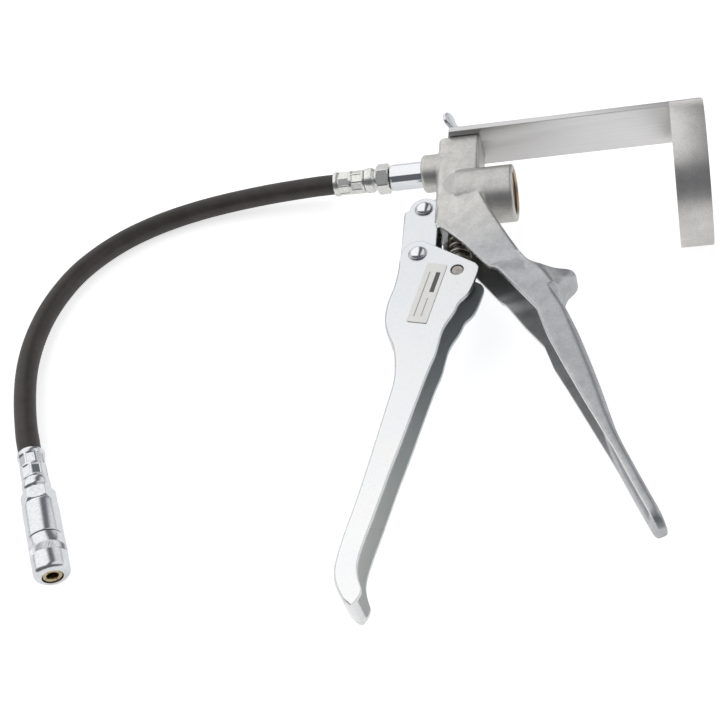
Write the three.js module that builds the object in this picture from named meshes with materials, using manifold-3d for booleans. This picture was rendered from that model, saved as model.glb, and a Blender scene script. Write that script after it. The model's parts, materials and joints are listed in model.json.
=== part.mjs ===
// Lever grease gun head with swing-link lever, container bracket, outlet tube,
// short high-pressure hose and four-jaw hydraulic coupler. Millimetres, +Z up.
//
// The gun is modelled in its own plane and then laid on its side:
//   x  along the container port (port mouth at +x, hose outlet at -x)
//   y  up the pump bore, z  across the thickness of the gun, z = 0 is the mid-plane.
// The origin of the gun's own axes is where the port axis meets the mid-plane
// below the outlet, so the port axis is y = 0, z = 0.
import * as THREE from "three";
import { mergeVertices } from "three/addons/utils/BufferGeometryUtils.js";
import Module from "manifold-3d";

const wasm = await Module();
wasm.setup();

// ---------------------------------------------------------------- dimensions
const TILT_Y = -7.41; // degrees: the port side rises, carried by the ring
const TILT_X = 1.57; // degrees: the head rises above the lever tip
const GUN_POS = [-32.88, 97.12, 23.13];

const BORE_X = 2.4; // pump bore and plunger axis
const BORE_R = 5.15;
const PLUNGER_R = 4.9;

const COLUMN = { x0: -10.8, x1: 12.7, half: 10.5, y0: -30, y1: 38.3, corner: 4.5 };
const OUTLET_Y = 21.8;
const COLLAR = { r: 10.6, x: -20.4 };
const PORT = { r: 15.7, x: 31.8, boreR: 12.5, boreX: 9 };

const P0 = [-17, -12]; // upper link pivot, on the head's lug
const P1 = [-18.3, -46]; // lower link pivot, on the lever
const P2 = [3.2, -59.8]; // lever pin that drives the plunger
const RIVET_R = 2.9;
const RIVET_HOLE_R = 3.15;
const PIN_R = 3.3;
const SLOT_R = 3.85; // slotted eye of the plunger, in which the pin slides

const SHEET = 2;
const LINK_HALF = 7.2;
const LEVER_HALF = 9.5;
const LEVER_TIP_HALF = 10.6;

const WALL = 2.4; // handle side walls
const SPINE = 2.6; // handle back

const BAR = { y0: 38.75, t: 3.7, half: 14, x0: -6.4, x1: 133.6 };
const BAR_SCREW_X = 1.25;
const RING = { x0: 116.6, x1: 133.8, r: 38.5, t: 2 };

const TUBE = { r: 7.6, x0: -39.1, x1: -20.7 };
const HEX_AF = 15.2;
const HEX_L = 7.1;
const NECK_R = 6.9;
const NECK_L = 7;
const FERRULE = { r: 6.6, rIn: 5.95, l: 17.8 };
const HOSE_R = 5.7;
const HOSE_BORE_R = 3.25;
const TAIL_R = 2.9;

const COUPLER = { r: 8.9, bodyL: 20.7, sleeveL: 21.6, boreR: 6.2 };
// Where the coupler meets the hose end, and which way it points, lying on the bench.
const COUPLER_FACE = [-231.2, -95.6, 9.1];
const COUPLER_HEADING = -68.8;
// Hose centre line from inside the head's ferrule to inside the coupler's ferrule.
const HOSE_ROUTE = [
  [-88.5, 119.1, 16.5], [-96.4, 119.1, 15.5], [-104, 119.2, 14.5], [-113.8, 119.2, 13.2],
  [-124.5, 118.7, 11.8], [-139.3, 117.4, 10.1], [-153.5, 115.4, 8.6], [-168.4, 112.2, 7.5],
  [-182.4, 108.2, 6.6], [-196.6, 102.5, 6.1], [-210.6, 94.9, 5.9], [-223.6, 85.4, 5.9],
  [-235.5, 73.6, 5.9], [-245.2, 60.4, 5.9], [-252, 46.2, 5.9], [-256.4, 32.1, 6],
  [-258.7, 17.8, 6.3], [-259.2, 3.7, 6.9], [-258.1, -10.6, 7.7], [-255.7, -24, 8.5],
  [-252.4, -37.6, 9], [-248.3, -51.4, 9.1], [-243.7, -63.9, 9.1], [-240.2, -72.6, 9.1],
  [-237.3, -80.1, 9.1],
];
const HOSE_STEPS = 14;

// ------------------------------------------------------------------ materials
function steel(color, roughness) {
  return new THREE.MeshStandardMaterial({ color, roughness, metalness: 1 });
}
const CAST = new THREE.MeshStandardMaterial({ color: 0xb9b9b7, roughness: 0.55, metalness: 0.9 });
const ZINC = steel(0xd3d9de, 0.32);
const CHROME = steel(0xdfe2e6, 0.15);
const BARE = steel(0xa9aaab, 0.4);
const SPRING_STEEL = steel(0x8f8d86, 0.35);
const ALU = new THREE.MeshStandardMaterial({ color: 0xc9c9c8, roughness: 0.4, metalness: 1 });
const BRASS = steel(0xb8a36a, 0.35);
const RUBBER = new THREE.MeshStandardMaterial({ color: 0x2b2827, roughness: 0.75, metalness: 0 });
const FIBRE = new THREE.MeshStandardMaterial({ color: 0x8d6b3c, roughness: 0.8, metalness: 0 });
const FOIL = new THREE.MeshStandardMaterial({ color: 0xc9c9c6, roughness: 0.5, metalness: 0.3 });

// -------------------------------------------------------------------- helpers
function rad(deg) {
  return (deg * Math.PI) / 180;
}

// Closed, outward-facing copy of a geometry with shared vertices.
function closed(geometry) {
  const bare = geometry.clone();
  bare.deleteAttribute("normal");
  bare.deleteAttribute("uv");
  const merged = mergeVertices(bare, 1e-4);
  const pos = merged.attributes.position;
  const idx = merged.index.array;
  const tris = [];
  for (let i = 0; i < idx.length; i += 3) {
    const [a, b, c] = [idx[i], idx[i + 1], idx[i + 2]];
    if (a !== b && b !== c && c !== a) tris.push(a, b, c);
  }
  let volume = 0;
  const [va, vb, vc] = [new THREE.Vector3(), new THREE.Vector3(), new THREE.Vector3()];
  for (let i = 0; i < tris.length; i += 3) {
    va.fromBufferAttribute(pos, tris[i]);
    vb.fromBufferAttribute(pos, tris[i + 1]);
    vc.fromBufferAttribute(pos, tris[i + 2]);
    volume += va.dot(vb.cross(vc));
  }
  if (volume < 0) {
    for (let i = 0; i < tris.length; i += 3) [tris[i], tris[i + 1]] = [tris[i + 1], tris[i]];
  }
  const out = new THREE.BufferGeometry();
  out.setAttribute("position", pos.clone());
  out.setIndex(tris);
  return out;
}

function solid(geometry) {
  const g = closed(geometry);
  return new wasm.Manifold(new wasm.Mesh({
    numProp: 3,
    vertProperties: new Float32Array(g.attributes.position.array),
    triVerts: new Uint32Array(g.index.array),
  }));
}

function geometryOf(manifold) {
  const mesh = manifold.getMesh();
  const g = new THREE.BufferGeometry();
  g.setAttribute("position", new THREE.BufferAttribute(new Float32Array(mesh.vertProperties), 3));
  g.setIndex(Array.from(mesh.triVerts));
  return g;
}

function piece(parent, name, geometry, material) {
  const g = closed(geometry);
  g.computeVertexNormals();
  const mesh = new THREE.Mesh(g, material);
  mesh.name = name;
  parent.add(mesh);
  return mesh;
}

// Lathe of [radius, along] points, turned so that "along" runs down the chosen axis.
function turned(points, axis, segments = 32) {
  const g = new THREE.LatheGeometry(points.map(([r, h]) => new THREE.Vector2(r, h)), segments);
  if (axis === "x") g.rotateZ(-Math.PI / 2);
  if (axis === "z") g.rotateX(Math.PI / 2);
  return g;
}

// Solid cylinder between two stations with an optional chamfer at each end.
function rod(r, h0, h1, axis, chamfer0 = 0, chamfer1 = 0, segments = 32) {
  const points = [[0, h0]];
  if (chamfer0 > 0) points.push([r - chamfer0, h0], [r, h0 + chamfer0]);
  else points.push([r, h0]);
  if (chamfer1 > 0) points.push([r, h1 - chamfer1], [r - chamfer1, h1]);
  else points.push([r, h1]);
  points.push([0, h1]);
  return turned(points, axis, segments);
}

function tube(rOut, rIn, h0, h1, axis, segments = 32) {
  return turned([[rIn, h0], [rOut, h0], [rOut, h1], [rIn, h1], [rIn, h0]], axis, segments);
}

function outline(points) {
  const shape = new THREE.Shape();
  shape.moveTo(...points[0]);
  for (const p of points.slice(1)) shape.lineTo(...p);
  shape.closePath();
  return shape;
}

// Plate with its outline in x, y and its thickness along z.
function plate(shape, z0, z1, segments = 10) {
  const g = new THREE.ExtrudeGeometry(shape, {
    depth: z1 - z0, bevelEnabled: false, curveSegments: segments,
  });
  g.translate(0, 0, z0);
  return g;
}

// Plate with its outline in x, z and its thickness along y.
function slab(shape, y0, y1, segments = 10) {
  const g = new THREE.ExtrudeGeometry(shape, {
    depth: y1 - y0, bevelEnabled: false, curveSegments: segments,
  });
  g.rotateX(-Math.PI / 2);
  g.translate(0, y0, 0);
  return g;
}

function roundedBox(x0, x1, half, r) {
  const s = new THREE.Shape();
  s.moveTo(x0 + r, -half);
  s.lineTo(x1 - r, -half);
  s.absarc(x1 - r, -half + r, r, -Math.PI / 2, 0);
  s.lineTo(x1, half - r);
  s.absarc(x1 - r, half - r, r, 0, Math.PI / 2);
  s.lineTo(x0 + r, half);
  s.absarc(x0 + r, half - r, r, Math.PI / 2, Math.PI);
  s.lineTo(x0, -half + r);
  s.absarc(x0 + r, -half + r, r, Math.PI, 1.5 * Math.PI);
  return s;
}

// Hexagonal nut body along x, its corners turned off at both ends.
function hexagon(af, x0, x1) {
  const corner = af / Math.sqrt(3);
  const points = [];
  for (let i = 0; i < 6; i++) {
    points.push([corner * Math.cos(rad(60 * i + 90)), corner * Math.sin(rad(60 * i + 90))]);
  }
  const g = plate(outline(points), x0, x1);
  g.rotateY(Math.PI / 2);
  const cone = rod(corner + 0.05, x0, x1, "x", 1, 1, 30);
  return solid(g).intersect(solid(cone));
}

// Helical spring about the y axis through x = cx, ends cut square to the wire.
function coil(cx, r, wire, y0, y1, turns, steps, sides) {
  const points = [];
  for (let i = 0; i <= turns * steps; i++) {
    const a = (2 * Math.PI * i) / steps;
    const s = i / (turns * steps);
    points.push(new THREE.Vector3(cx + r * Math.cos(a), y0 + (y1 - y0) * s, r * Math.sin(a)));
  }
  const section = new THREE.Shape();
  section.absarc(0, 0, wire / 2, 0, 2 * Math.PI);
  return new THREE.ExtrudeGeometry(section, {
    steps: turns * steps,
    curveSegments: sides / 2,
    bevelEnabled: false,
    extrudePath: new THREE.CatmullRomCurve3(points),
  });
}

// Box whose length follows stations { l: [x, y], r: [x, y], h }: the two edges of
// the section and its half thickness. Used for the tapering handle.
function lofted(stations) {
  const n = stations.length - 1;
  const g = new THREE.BoxGeometry(1, n, 1, 1, n, 1);
  const pos = g.attributes.position;
  for (let i = 0; i < pos.count; i++) {
    const s = stations[Math.round(n / 2 - pos.getY(i))];
    const [x, y] = pos.getX(i) < 0 ? s.l : s.r;
    pos.setXYZ(i, x, y, Math.sign(pos.getZ(i)) * s.h);
  }
  return g;
}

// ---------------------------------------------------------------- head casting
// Handle stations from the head to the tip: lever-side edge, back edge, half width.
const HANDLE = [
  { l: [-8, -20], r: [14, -3], h: 10.4 },
  { l: [-7, -27.6], r: [19.6, -20], h: 12.5 },
  { l: [7, -45.2], r: [28.3, -38.5], h: 13.2 },
  { l: [20.9, -63.8], r: [36.6, -55], h: 15 },
  { l: [25.4, -67.2], r: [41, -64], h: 16.2 },
  { l: [35, -81.5], r: [51, -81], h: 17.8 },
  { l: [45.1, -95.6], r: [59.3, -95.6], h: 17.6 },
  { l: [50.1, -111.8], r: [65.4, -111.1], h: 15.6 },
  { l: [57.5, -128.5], r: [70.5, -127], h: 13 },
  { l: [66, -147.5], r: [75.9, -146], h: 11.7 },
  { l: [75.9, -169.2], r: [81.2, -167.5], h: 11.1 },
  { l: [79.7, -177.6], r: [84.4, -176.2], h: 11 },
  { l: [87, -195.5], r: [91.6, -194], h: 10.8 },
  { l: [93.4, -210.6], r: [97.9, -209], h: 10.4 },
  { l: [94.7, -213.6], r: [99.3, -212], h: 9.2 },
  { l: [95.9, -216], r: [100.4, -214.3], h: 7 },
  { l: [96.8, -217.6], r: [101, -216], h: 3.6 },
];

function offsetStation(s, open, back, wall) {
  const d = new THREE.Vector2(s.r[0] - s.l[0], s.r[1] - s.l[1]).normalize();
  return {
    l: [s.l[0] - d.x * open, s.l[1] - d.y * open],
    r: [s.r[0] - d.x * back, s.r[1] - d.y * back],
    h: s.h - wall,
  };
}

function handleCavity() {
  const inner = HANDLE.slice(2, 14).map((s) => offsetStation(s, 3, SPINE, WALL));
  return lofted([
    { l: [-14, -24], r: [17.4, -24], h: 10.1 },
    { l: [-13, -33], r: [20.4, -32], h: 10.3 },
    ...inner,
  ]);
}

function lug() {
  const s = new THREE.Shape();
  s.moveTo(-4, -1.2);
  s.lineTo(-12, -3);
  s.absarc(P0[0], P0[1], 7.4, rad(62), rad(250), false);
  s.lineTo(-4, -24);
  s.closePath();
  return plate(s, -5, 5);
}

// The casting steps back below the outlet to clear the link's side plates.
function linkPocket() {
  const { x0, half } = COLUMN;
  const cut = plate(outline([[x0 - 4, -40], [-8.3, -40], [-8.3, -3], [-10, -1.6], [x0 - 4, -1.6]]),
    -half - 4, half + 4);
  return solid(cut);
}

function fingerRest() {
  const s = new THREE.Shape();
  s.moveTo(38, -60);
  s.quadraticCurveTo(45, -66.2, 54, -65.6);
  s.lineTo(60.5, -65.4);
  s.quadraticCurveTo(65.4, -66.6, 61.8, -69);
  s.quadraticCurveTo(56, -72.2, 55.6, -80);
  s.lineTo(46, -84);
  s.closePath();
  const body = solid(plate(s, -8, 8, 6));
  const plan = roundedBox(20, 64.2, 8, 6);
  return body.intersect(solid(slab(plan, -90, -50, 6)));
}

function headCasting() {
  const column = roundedBox(COLUMN.x0, COLUMN.x1, COLUMN.half, COLUMN.corner);
  let body = solid(slab(column, COLUMN.y0, COLUMN.y1, 5));
  const collar = rod(COLLAR.r, COLLAR.x, -4, "x", 1.4, 0, 40);
  collar.translate(0, OUTLET_Y, 0);
  body = body.add(solid(collar));
  body = body.add(solid(rod(PORT.r, 0.4, PORT.x, "x", 0, 0.9, 48)));
  body = body.add(solid(lofted(HANDLE)));
  body = body.add(fingerRest());
  body = body.subtract(solid(handleCavity()));
  body = body.subtract(linkPocket());
  body = body.add(solid(lug()));

  const cuts = [];
  cuts.push(rod(BORE_R, -32, 26.5, "y"));
  cuts[0].translate(BORE_X, 0, 0);
  const groove = rod(7, -20.4, -17.6, "y");
  groove.translate(BORE_X, 0, 0);
  cuts.push(groove);
  cuts.push(rod(PORT.boreR, PORT.boreX, PORT.x + 2, "x", 0, 0, 40));
  cuts.push(rod(3.5, BORE_X, PORT.boreX + 1, "x", 0, 0, 20));
  for (const [r, x0, x1] of [[2.5, -9, BORE_X], [4.2, -13.4, -8], [6, COLLAR.x - 2, -13]]) {
    const c = rod(r, x0, x1, "x", 0, 0, 24);
    c.translate(0, OUTLET_Y, 0);
    cuts.push(c);
  }
  const screwHole = rod(3.3, 28.8, 40, "y", 0, 0, 24);
  screwHole.translate(BAR_SCREW_X, 0, 0);
  cuts.push(screwHole);
  const pivot = rod(RIVET_HOLE_R, -8, 8, "z", 0, 0, 24);
  pivot.translate(P0[0], P0[1], 0);
  cuts.push(pivot);
  for (const c of cuts) body = body.subtract(solid(c));
  return geometryOf(body);
}

// ------------------------------------------------------------------- mechanism
function rivet(half, domeR, domeH) {
  const points = [[0, -half - domeH]];
  for (const a of [30, 60, 90]) {
    points.push([domeR * Math.sin(rad(a)), -half - domeH * Math.cos(rad(a))]);
  }
  points.push([RIVET_R, -half], [RIVET_R, half]);
  for (const a of [90, 60, 30]) {
    points.push([domeR * Math.sin(rad(a)), half + domeH * Math.cos(rad(a))]);
  }
  points.push([0, half + domeH]);
  return turned(points, "z", 20);
}

function link() {
  const s = new THREE.Shape();
  s.moveTo(-28.2, -15.4);
  s.lineTo(-28.2, -46);
  s.absarc(P1[0], P1[1], 9.9, Math.PI, 1.5 * Math.PI, false);
  s.absarc(P1[0], P1[1], 8.9, 1.5 * Math.PI, 2 * Math.PI, false);
  s.lineTo(P0[0] + 8, P0[1]);
  s.absarc(P0[0], P0[1], 8, 0, Math.PI, false);
  s.lineTo(-27.2, -13);
  s.closePath();
  let body = solid(plate(s, -LINK_HALF, LINK_HALF, 8));
  const inside = plate(outline([[-26.2, -80], [20, -80], [20, 20], [-26.2, 20]]),
    -LINK_HALF + SHEET, LINK_HALF - SHEET);
  body = body.subtract(solid(inside));
  for (const p of [P0, P1]) {
    const hole = rod(RIVET_HOLE_R, -20, 20, "z", 0, 0, 24);
    hole.translate(p[0], p[1], 0);
    body = body.subtract(solid(hole));
  }
  return geometryOf(body);
}

// Grip edge (left) and open edge (right) of the lever's side plates.
const LEVER_LEFT = [
  [-28.6, -51.2], [-29.2, -58], [-30.6, -67], [-32.8, -75], [-33.9, -83], [-33.7, -90.5],
  [-32, -97.4], [-29.2, -104.4], [-27.6, -111], [-26.9, -118], [-26.7, -125], [-27.7, -133.2],
  [-29.5, -142.1], [-33.8, -163.6], [-37.1, -180], [-41.3, -199], [-45.4, -215.8],
  [-47.4, -226.5], [-47.9, -232.5], [-47.1, -238], [-44.6, -244], [-41.4, -249.2], [-38.9, -251],
];
const LEVER_RIGHT = [
  [-36.8, -250.6], [-34.9, -247.8], [-33.6, -244], [-35.3, -238.6], [-36.6, -233], [-36.3, -227.5],
  [-34.6, -219.4], [-31.4, -207.5], [-28, -194.4], [-24.4, -180.2], [-20, -164.6], [-13.9, -141.4],
  [-9, -123.4], [-5.9, -113.6], [-4.2, -104.4], [-2.6, -97.6], [2.8, -87], [4.6, -82],
  [9.4, -76.2], [14, -62.2], [14.4, -59.4], [12.6, -56.3],
];

function leverOutline() {
  const s = new THREE.Shape();
  s.moveTo(P1[0] - 9, P1[1]);
  for (const p of LEVER_LEFT) s.lineTo(...p);
  for (const p of LEVER_RIGHT) s.lineTo(...p);
  s.lineTo(P1[0] + 2.6, P1[1] + 8.7);
  s.absarc(P1[0], P1[1], 9, rad(73), Math.PI, false);
  return s;
}

function leverInside() {
  const s = new THREE.Shape();
  s.moveTo(-60, 20);
  s.lineTo(-60, -53);
  s.lineTo(LEVER_LEFT[0][0] + SHEET, -53);
  for (const [x, y] of LEVER_LEFT.slice(1, -2)) {
    s.lineTo(x + SHEET + (y < -225 ? 0.4 : 0), y + (y < -240 ? 1.6 : 0));
  }
  s.lineTo(-38.6, -248.6);
  s.lineTo(-30, -247.4);
  s.lineTo(60, -220);
  s.lineTo(60, 20);
  s.closePath();
  return s;
}

// The channel widens evenly from the pivots to the tip, so its plates stay flat.
function widen(geometry) {
  const pos = geometry.attributes.position;
  const rate = (LEVER_TIP_HALF / LEVER_HALF - 1) / 205;
  for (let i = 0; i < pos.count; i++) {
    pos.setZ(i, pos.getZ(i) * (1 + rate * (P1[1] - pos.getY(i))));
  }
  return geometry;
}

function lever() {
  const t = SHEET / LEVER_HALF;
  let body = solid(plate(leverOutline(), -LEVER_HALF, LEVER_HALF, 8));
  body = body.subtract(solid(plate(leverInside(), -LEVER_HALF * (1 - t), LEVER_HALF * (1 - t))));
  for (const [p, r] of [[P1, RIVET_HOLE_R], [P2, PIN_R + 0.25]]) {
    const hole = rod(r, -30, 30, "z", 0, 0, 24);
    hole.translate(p[0], p[1], 0);
    body = body.subtract(solid(hole));
  }
  return widen(geometryOf(body));
}

function plunger() {
  const rodPart = rod(PLUNGER_R, -54, -9, "y", 0, 0.8);
  rodPart.translate(BORE_X, 0, 0);
  const eye = new THREE.Shape();
  eye.moveTo(BORE_X - 6, -51.4);
  eye.lineTo(BORE_X - 6, -61);
  eye.absarc(P2[0] - 0.5, P2[1], 6.6, Math.PI, 2 * Math.PI, false);
  eye.lineTo(BORE_X + 6.6, -51.4);
  eye.closePath();
  let body = solid(rodPart).add(solid(plate(eye, -5.2, 5.2, 8)));
  const slot = new THREE.Shape();
  slot.moveTo(P2[0], P2[1] - SLOT_R);
  slot.absarc(P2[0] + 1, P2[1], SLOT_R, -Math.PI / 2, Math.PI / 2, false);
  slot.absarc(P2[0], P2[1], SLOT_R, Math.PI / 2, 1.5 * Math.PI, false);
  body = body.subtract(solid(plate(slot, -10, 10, 8)));
  return geometryOf(body);
}

function at(geometry, x, y, z = 0) {
  geometry.translate(x, y, z);
  return geometry;
}

// Small coil about the x axis, for the check valves.
function valveSpring(r, wire, x0, x1, turns) {
  const g = coil(0, r, wire, -x0, -x1, turns, 10, 6);
  g.rotateZ(Math.PI / 2);
  return g;
}

// ---------------------------------------------------------------- outlet fittings
// Fittings run along +x here: 0 is the face of the hexagon, the hose leaves at the end.
function nipple() {
  let body = hexagon(HEX_AF, 0, HEX_L);
  body = body.add(solid(rod(4.3, -8, 1, "x", 0.8, 0, 20)));
  body = body.add(solid(rod(NECK_R, HEX_L - 1, HEX_L + NECK_L, "x", 0, 0.9, 24)));
  body = body.add(solid(rod(TAIL_R, HEX_L, HEX_L + NECK_L + 15, "x", 0, 0.5, 16)));
  body = body.subtract(solid(rod(1.6, -10, HEX_L + NECK_L + 20, "x", 0, 0, 12)));
  return geometryOf(body);
}

// Crimped ferrule: two waists where the dies closed, a rolled lip at the mouth.
function ferrule() {
  const x = HEX_L + NECK_L + 0.3;
  const r = FERRULE.r;
  const l = FERRULE.l;
  const points = [
    [TAIL_R + 0.3, x], [r - 0.6, x], [r, x + 0.8], [r, x + 5.2], [r + 0.25, x + 6.2],
    [r, x + 7.2], [r, x + 13], [r + 0.3, x + 14.4], [r + 0.3, x + l], [FERRULE.rIn, x + l],
    [FERRULE.rIn, x + 2], [TAIL_R + 0.3, x + 2], [TAIL_R + 0.3, x],
  ];
  return turned(points, "x", 24);
}

// ---------------------------------------------------------------------- coupler
// Along +x here: 0 is the face against the hexagon of the hose end.
function couplerBody() {
  const { r, bodyL } = COUPLER;
  const profile = [
    [4.6, 0], [r - 0.9, 0], [r, 0.9], [r, bodyL - 0.4], [r - 0.4, bodyL], [5.9, bodyL],
    [5.9, bodyL + 7], [4, bodyL + 7], [4, bodyL - 4], [1.8, bodyL - 6], [1.8, 10.5], [4.6, 9],
    [4.6, 0],
  ];
  return turned(profile, "x", 28);
}

function couplerSleeve() {
  const { r, bodyL, sleeveL, boreR } = COUPLER;
  const x0 = bodyL + 0.4;
  const x1 = bodyL + sleeveL;
  const profile = [
    [boreR, x0], [r - 0.4, x0], [r, x0 + 0.4], [r, x0 + 5.8], [r + 0.15, x0 + 6],
    [r + 0.15, x0 + 10.4], [r, x0 + 10.6], [r, x1 - 2.8], [r - 0.5, x1 - 1.5], [r - 1.1, x1 - 0.8],
    [r - 2, x1], [5.3, x1], [5.1, x1 - 1], [boreR, x1 - 5], [boreR, x0],
  ];
  return turned(profile, "x", 30);
}

// One quarter of the split collet that grips the nipple.
function couplerJaw(index) {
  const x0 = COUPLER.bodyL + 12;
  const x1 = COUPLER.bodyL + COUPLER.sleeveL;
  const ring = solid(turned([
    [3.9, x0], [5.6, x0], [5.6, x1 - 6], [4.8, x1 - 1.4], [4.6, x1 - 0.5], [3, x1 - 0.5], [2.8, x1 - 1.4],
    [2.8, x1 - 4], [3.9, x1 - 5], [3.9, x0],
  ], "x", 32));
  const wedge = plate(outline([[0.35, 0.35], [20, 0.35], [20, 20], [0.35, 20]]), x0 - 1, x1 + 1);
  wedge.rotateY(Math.PI / 2);
  const quarter = solid(wedge);
  const jaw = geometryOf(ring.intersect(quarter));
  jaw.rotateX(rad(90 * index + 20));
  return jaw;
}

// ------------------------------------------------------------------------ bracket
function bracketBar() {
  const s = new THREE.Shape();
  s.moveTo(BAR.x0 + 2.2, -BAR.half);
  s.lineTo(BAR.x1, -BAR.half);
  s.lineTo(BAR.x1, BAR.half);
  s.lineTo(BAR.x0 + 2.2, BAR.half);
  s.quadraticCurveTo(BAR.x0 - 2.2, 0, BAR.x0 + 2.2, -BAR.half);
  for (const [x, r] of [[BAR_SCREW_X, 3.4], ...ringRivetX().map((v) => [v, 2.3])]) {
    const hole = new THREE.Path();
    hole.absarc(x, 0, r, 0, 2 * Math.PI, true);
    s.holes.push(hole);
  }
  return slab(s, BAR.y0, BAR.y0 + BAR.t, 10);
}

function ringRivetX() {
  const mid = (RING.x0 + RING.x1) / 2;
  return [mid - 4.4, mid + 4.4];
}

function bracketRing() {
  let body = solid(tube(RING.r, RING.r - RING.t, RING.x0, RING.x1, "x", 72));
  for (const x of ringRivetX()) {
    body = body.subtract(solid(at(rod(2.3, 30, 45, "y", 0, 0, 20), x, 0)));
  }
  return geometryOf(body);
}

function ringRivet(x) {
  const top = BAR.y0 + BAR.t + 0.2;
  const profile = [
    [0, RING.r - RING.t - 1.4], [3.2, RING.r - RING.t - 1.2], [3.4, RING.r - RING.t - 0.35],
    [2.1, RING.r - RING.t - 0.35], [2.1, top], [3.9, top], [3.4, top + 1], [2, top + 1.6],
    [0, top + 1.8],
  ];
  return at(turned(profile, "y", 20), x, 0);
}

function wingScrew() {
  const seat = BAR.y0 + BAR.t + 1.8;
  let body = solid(rod(2.9, 29.4, seat + 1, "y", 0.5, 0, 24));
  body = body.add(solid(rod(5.6, seat, seat + 7, "y", 0.5, 1.2, 28)));
  for (const side of [1, -1]) {
    const s = new THREE.Shape();
    s.moveTo(2, seat + 1);
    s.lineTo(8.4, seat + 2.4);
    s.absarc(12.2, seat + 7.6, 4.7, rad(-70), rad(125), false);
    s.quadraticCurveTo(7, seat + 8, 2, seat + 6.2);
    s.closePath();
    const wing = plate(s, -1.3, 1.3, 8);
    if (side < 0) wing.rotateY(Math.PI);
    body = body.add(solid(wing));
  }
  const g = geometryOf(body);
  g.rotateY(rad(-120));
  return at(g, BAR_SCREW_X, 0);
}

function labelPlate() {
  const s = roundedBox(-19.6, 19.6, 5.4, 0.8);
  const g = plate(s, LEVER_HALF + 0.15, LEVER_HALF + 0.4, 3);
  g.rotateZ(rad(76.2));
  return widen(at(g, -11.9, -73.9));
}

// ---------------------------------------------------------------------- assembly
const gun = new THREE.Group();
gun.rotation.set(rad(TILT_X), rad(TILT_Y), 0);
gun.position.set(...GUN_POS);

piece(gun, "head_casting", headCasting(), CAST);
piece(gun, "plunger", plunger(), BARE);
piece(gun, "plunger_seal", at(tube(6.8, 5.05, -20, -18, "y", 24), BORE_X, 0), RUBBER);
piece(gun, "spring_washer", at(tube(7.1, 5.15, -51.1, -49.7, "y", 24), BORE_X, 0), ZINC);
piece(gun, "return_spring", coil(BORE_X, 6.15, 1.7, -25.2, -48.5, 5, 14, 8), SPRING_STEEL);
piece(gun, "link", link(), ZINC);
piece(gun, "link_rivet_upper", at(rivet(LINK_HALF + 0.2, 4.5, 2.7), ...P0), CHROME);
piece(gun, "link_rivet_lower", at(rivet(LEVER_HALF + 0.2, 4.5, 2.7), ...P1), CHROME);
piece(gun, "lever", lever(), ZINC);
piece(gun, "lever_pin", at(rod(PIN_R, -9.1, 9.1, "z", 0.4, 0.4, 20), ...P2), BARE);
piece(gun, "label_plate", labelPlate(), FOIL);

piece(gun, "port_gasket", tube(12.2, 7, PORT.boreX + 0.3, PORT.boreX + 2, "x", 36), FIBRE);
piece(gun, "check_ball", at(new THREE.SphereGeometry(3.1, 14, 9), -10.4, OUTLET_Y), CHROME);
piece(gun, "check_spring", at(valveSpring(2.4, 0.7, 0, -2.8, 3), -14, OUTLET_Y), SPRING_STEEL);

function outletTube() {
  const { r, x0, x1 } = TUBE;
  const profile = [
    [2.2, -17.8], [3.4, -17.4], [3.4, -14.2], [5.6, -14.2], [5.6, x1], [r, x1], [r, x0 + 1.6],
    [r - 0.5, x0 + 0.5], [r - 1.5, x0], [4.6, x0], [4.6, x0 + 8.6], [2.2, x0 + 9.4], [2.2, -17.8],
  ];
  return at(turned(profile, "x", 28), 0, OUTLET_Y);
}
piece(gun, "outlet_tube", outletTube(), CHROME);

// The hose end at the head points towards -x.
const hoseEndHead = new THREE.Group();
hoseEndHead.position.set(TUBE.x0 - 0.3, OUTLET_Y, 0);
hoseEndHead.rotation.set(0, 0, Math.PI);
gun.add(hoseEndHead);
piece(hoseEndHead, "hose_nipple_head", nipple(), ZINC);
piece(hoseEndHead, "ferrule_head", ferrule(), ZINC);

piece(gun, "bracket_bar", bracketBar(), ALU);
piece(gun, "bracket_ring", bracketRing(), ALU);
ringRivetX().forEach((x, i) => piece(gun, `ring_rivet_${i + 1}`, ringRivet(x), ALU));
const washerY = BAR.y0 + BAR.t + 0.3;
piece(gun, "wing_washer", at(tube(6.6, 3.3, washerY, washerY + 1.2, "y", 24), BAR_SCREW_X, 0), ZINC);
piece(gun, "wing_screw", wingScrew(), ZINC);

const part = new THREE.Group();
part.add(gun);

function hose() {
  const section = new THREE.Shape();
  section.absarc(0, 0, HOSE_R, 0, 2 * Math.PI);
  const bore = new THREE.Path();
  bore.absarc(0, 0, HOSE_BORE_R, 0, 2 * Math.PI, true);
  section.holes.push(bore);
  return new THREE.ExtrudeGeometry(section, {
    steps: HOSE_STEPS,
    curveSegments: 6,
    bevelEnabled: false,
    extrudePath: new THREE.CatmullRomCurve3(HOSE_ROUTE.map((p) => new THREE.Vector3(...p))),
  });
}
piece(part, "hose", hose(), RUBBER);

// The hose end at the coupler points back along the heading, the coupler along it.
const hoseEndTip = new THREE.Group();
hoseEndTip.position.set(...COUPLER_FACE);
hoseEndTip.rotation.set(0, 0, rad(COUPLER_HEADING + 180));
part.add(hoseEndTip);
piece(hoseEndTip, "hose_nipple_tip", nipple(), ZINC);
piece(hoseEndTip, "ferrule_tip", ferrule(), ZINC);

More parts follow.
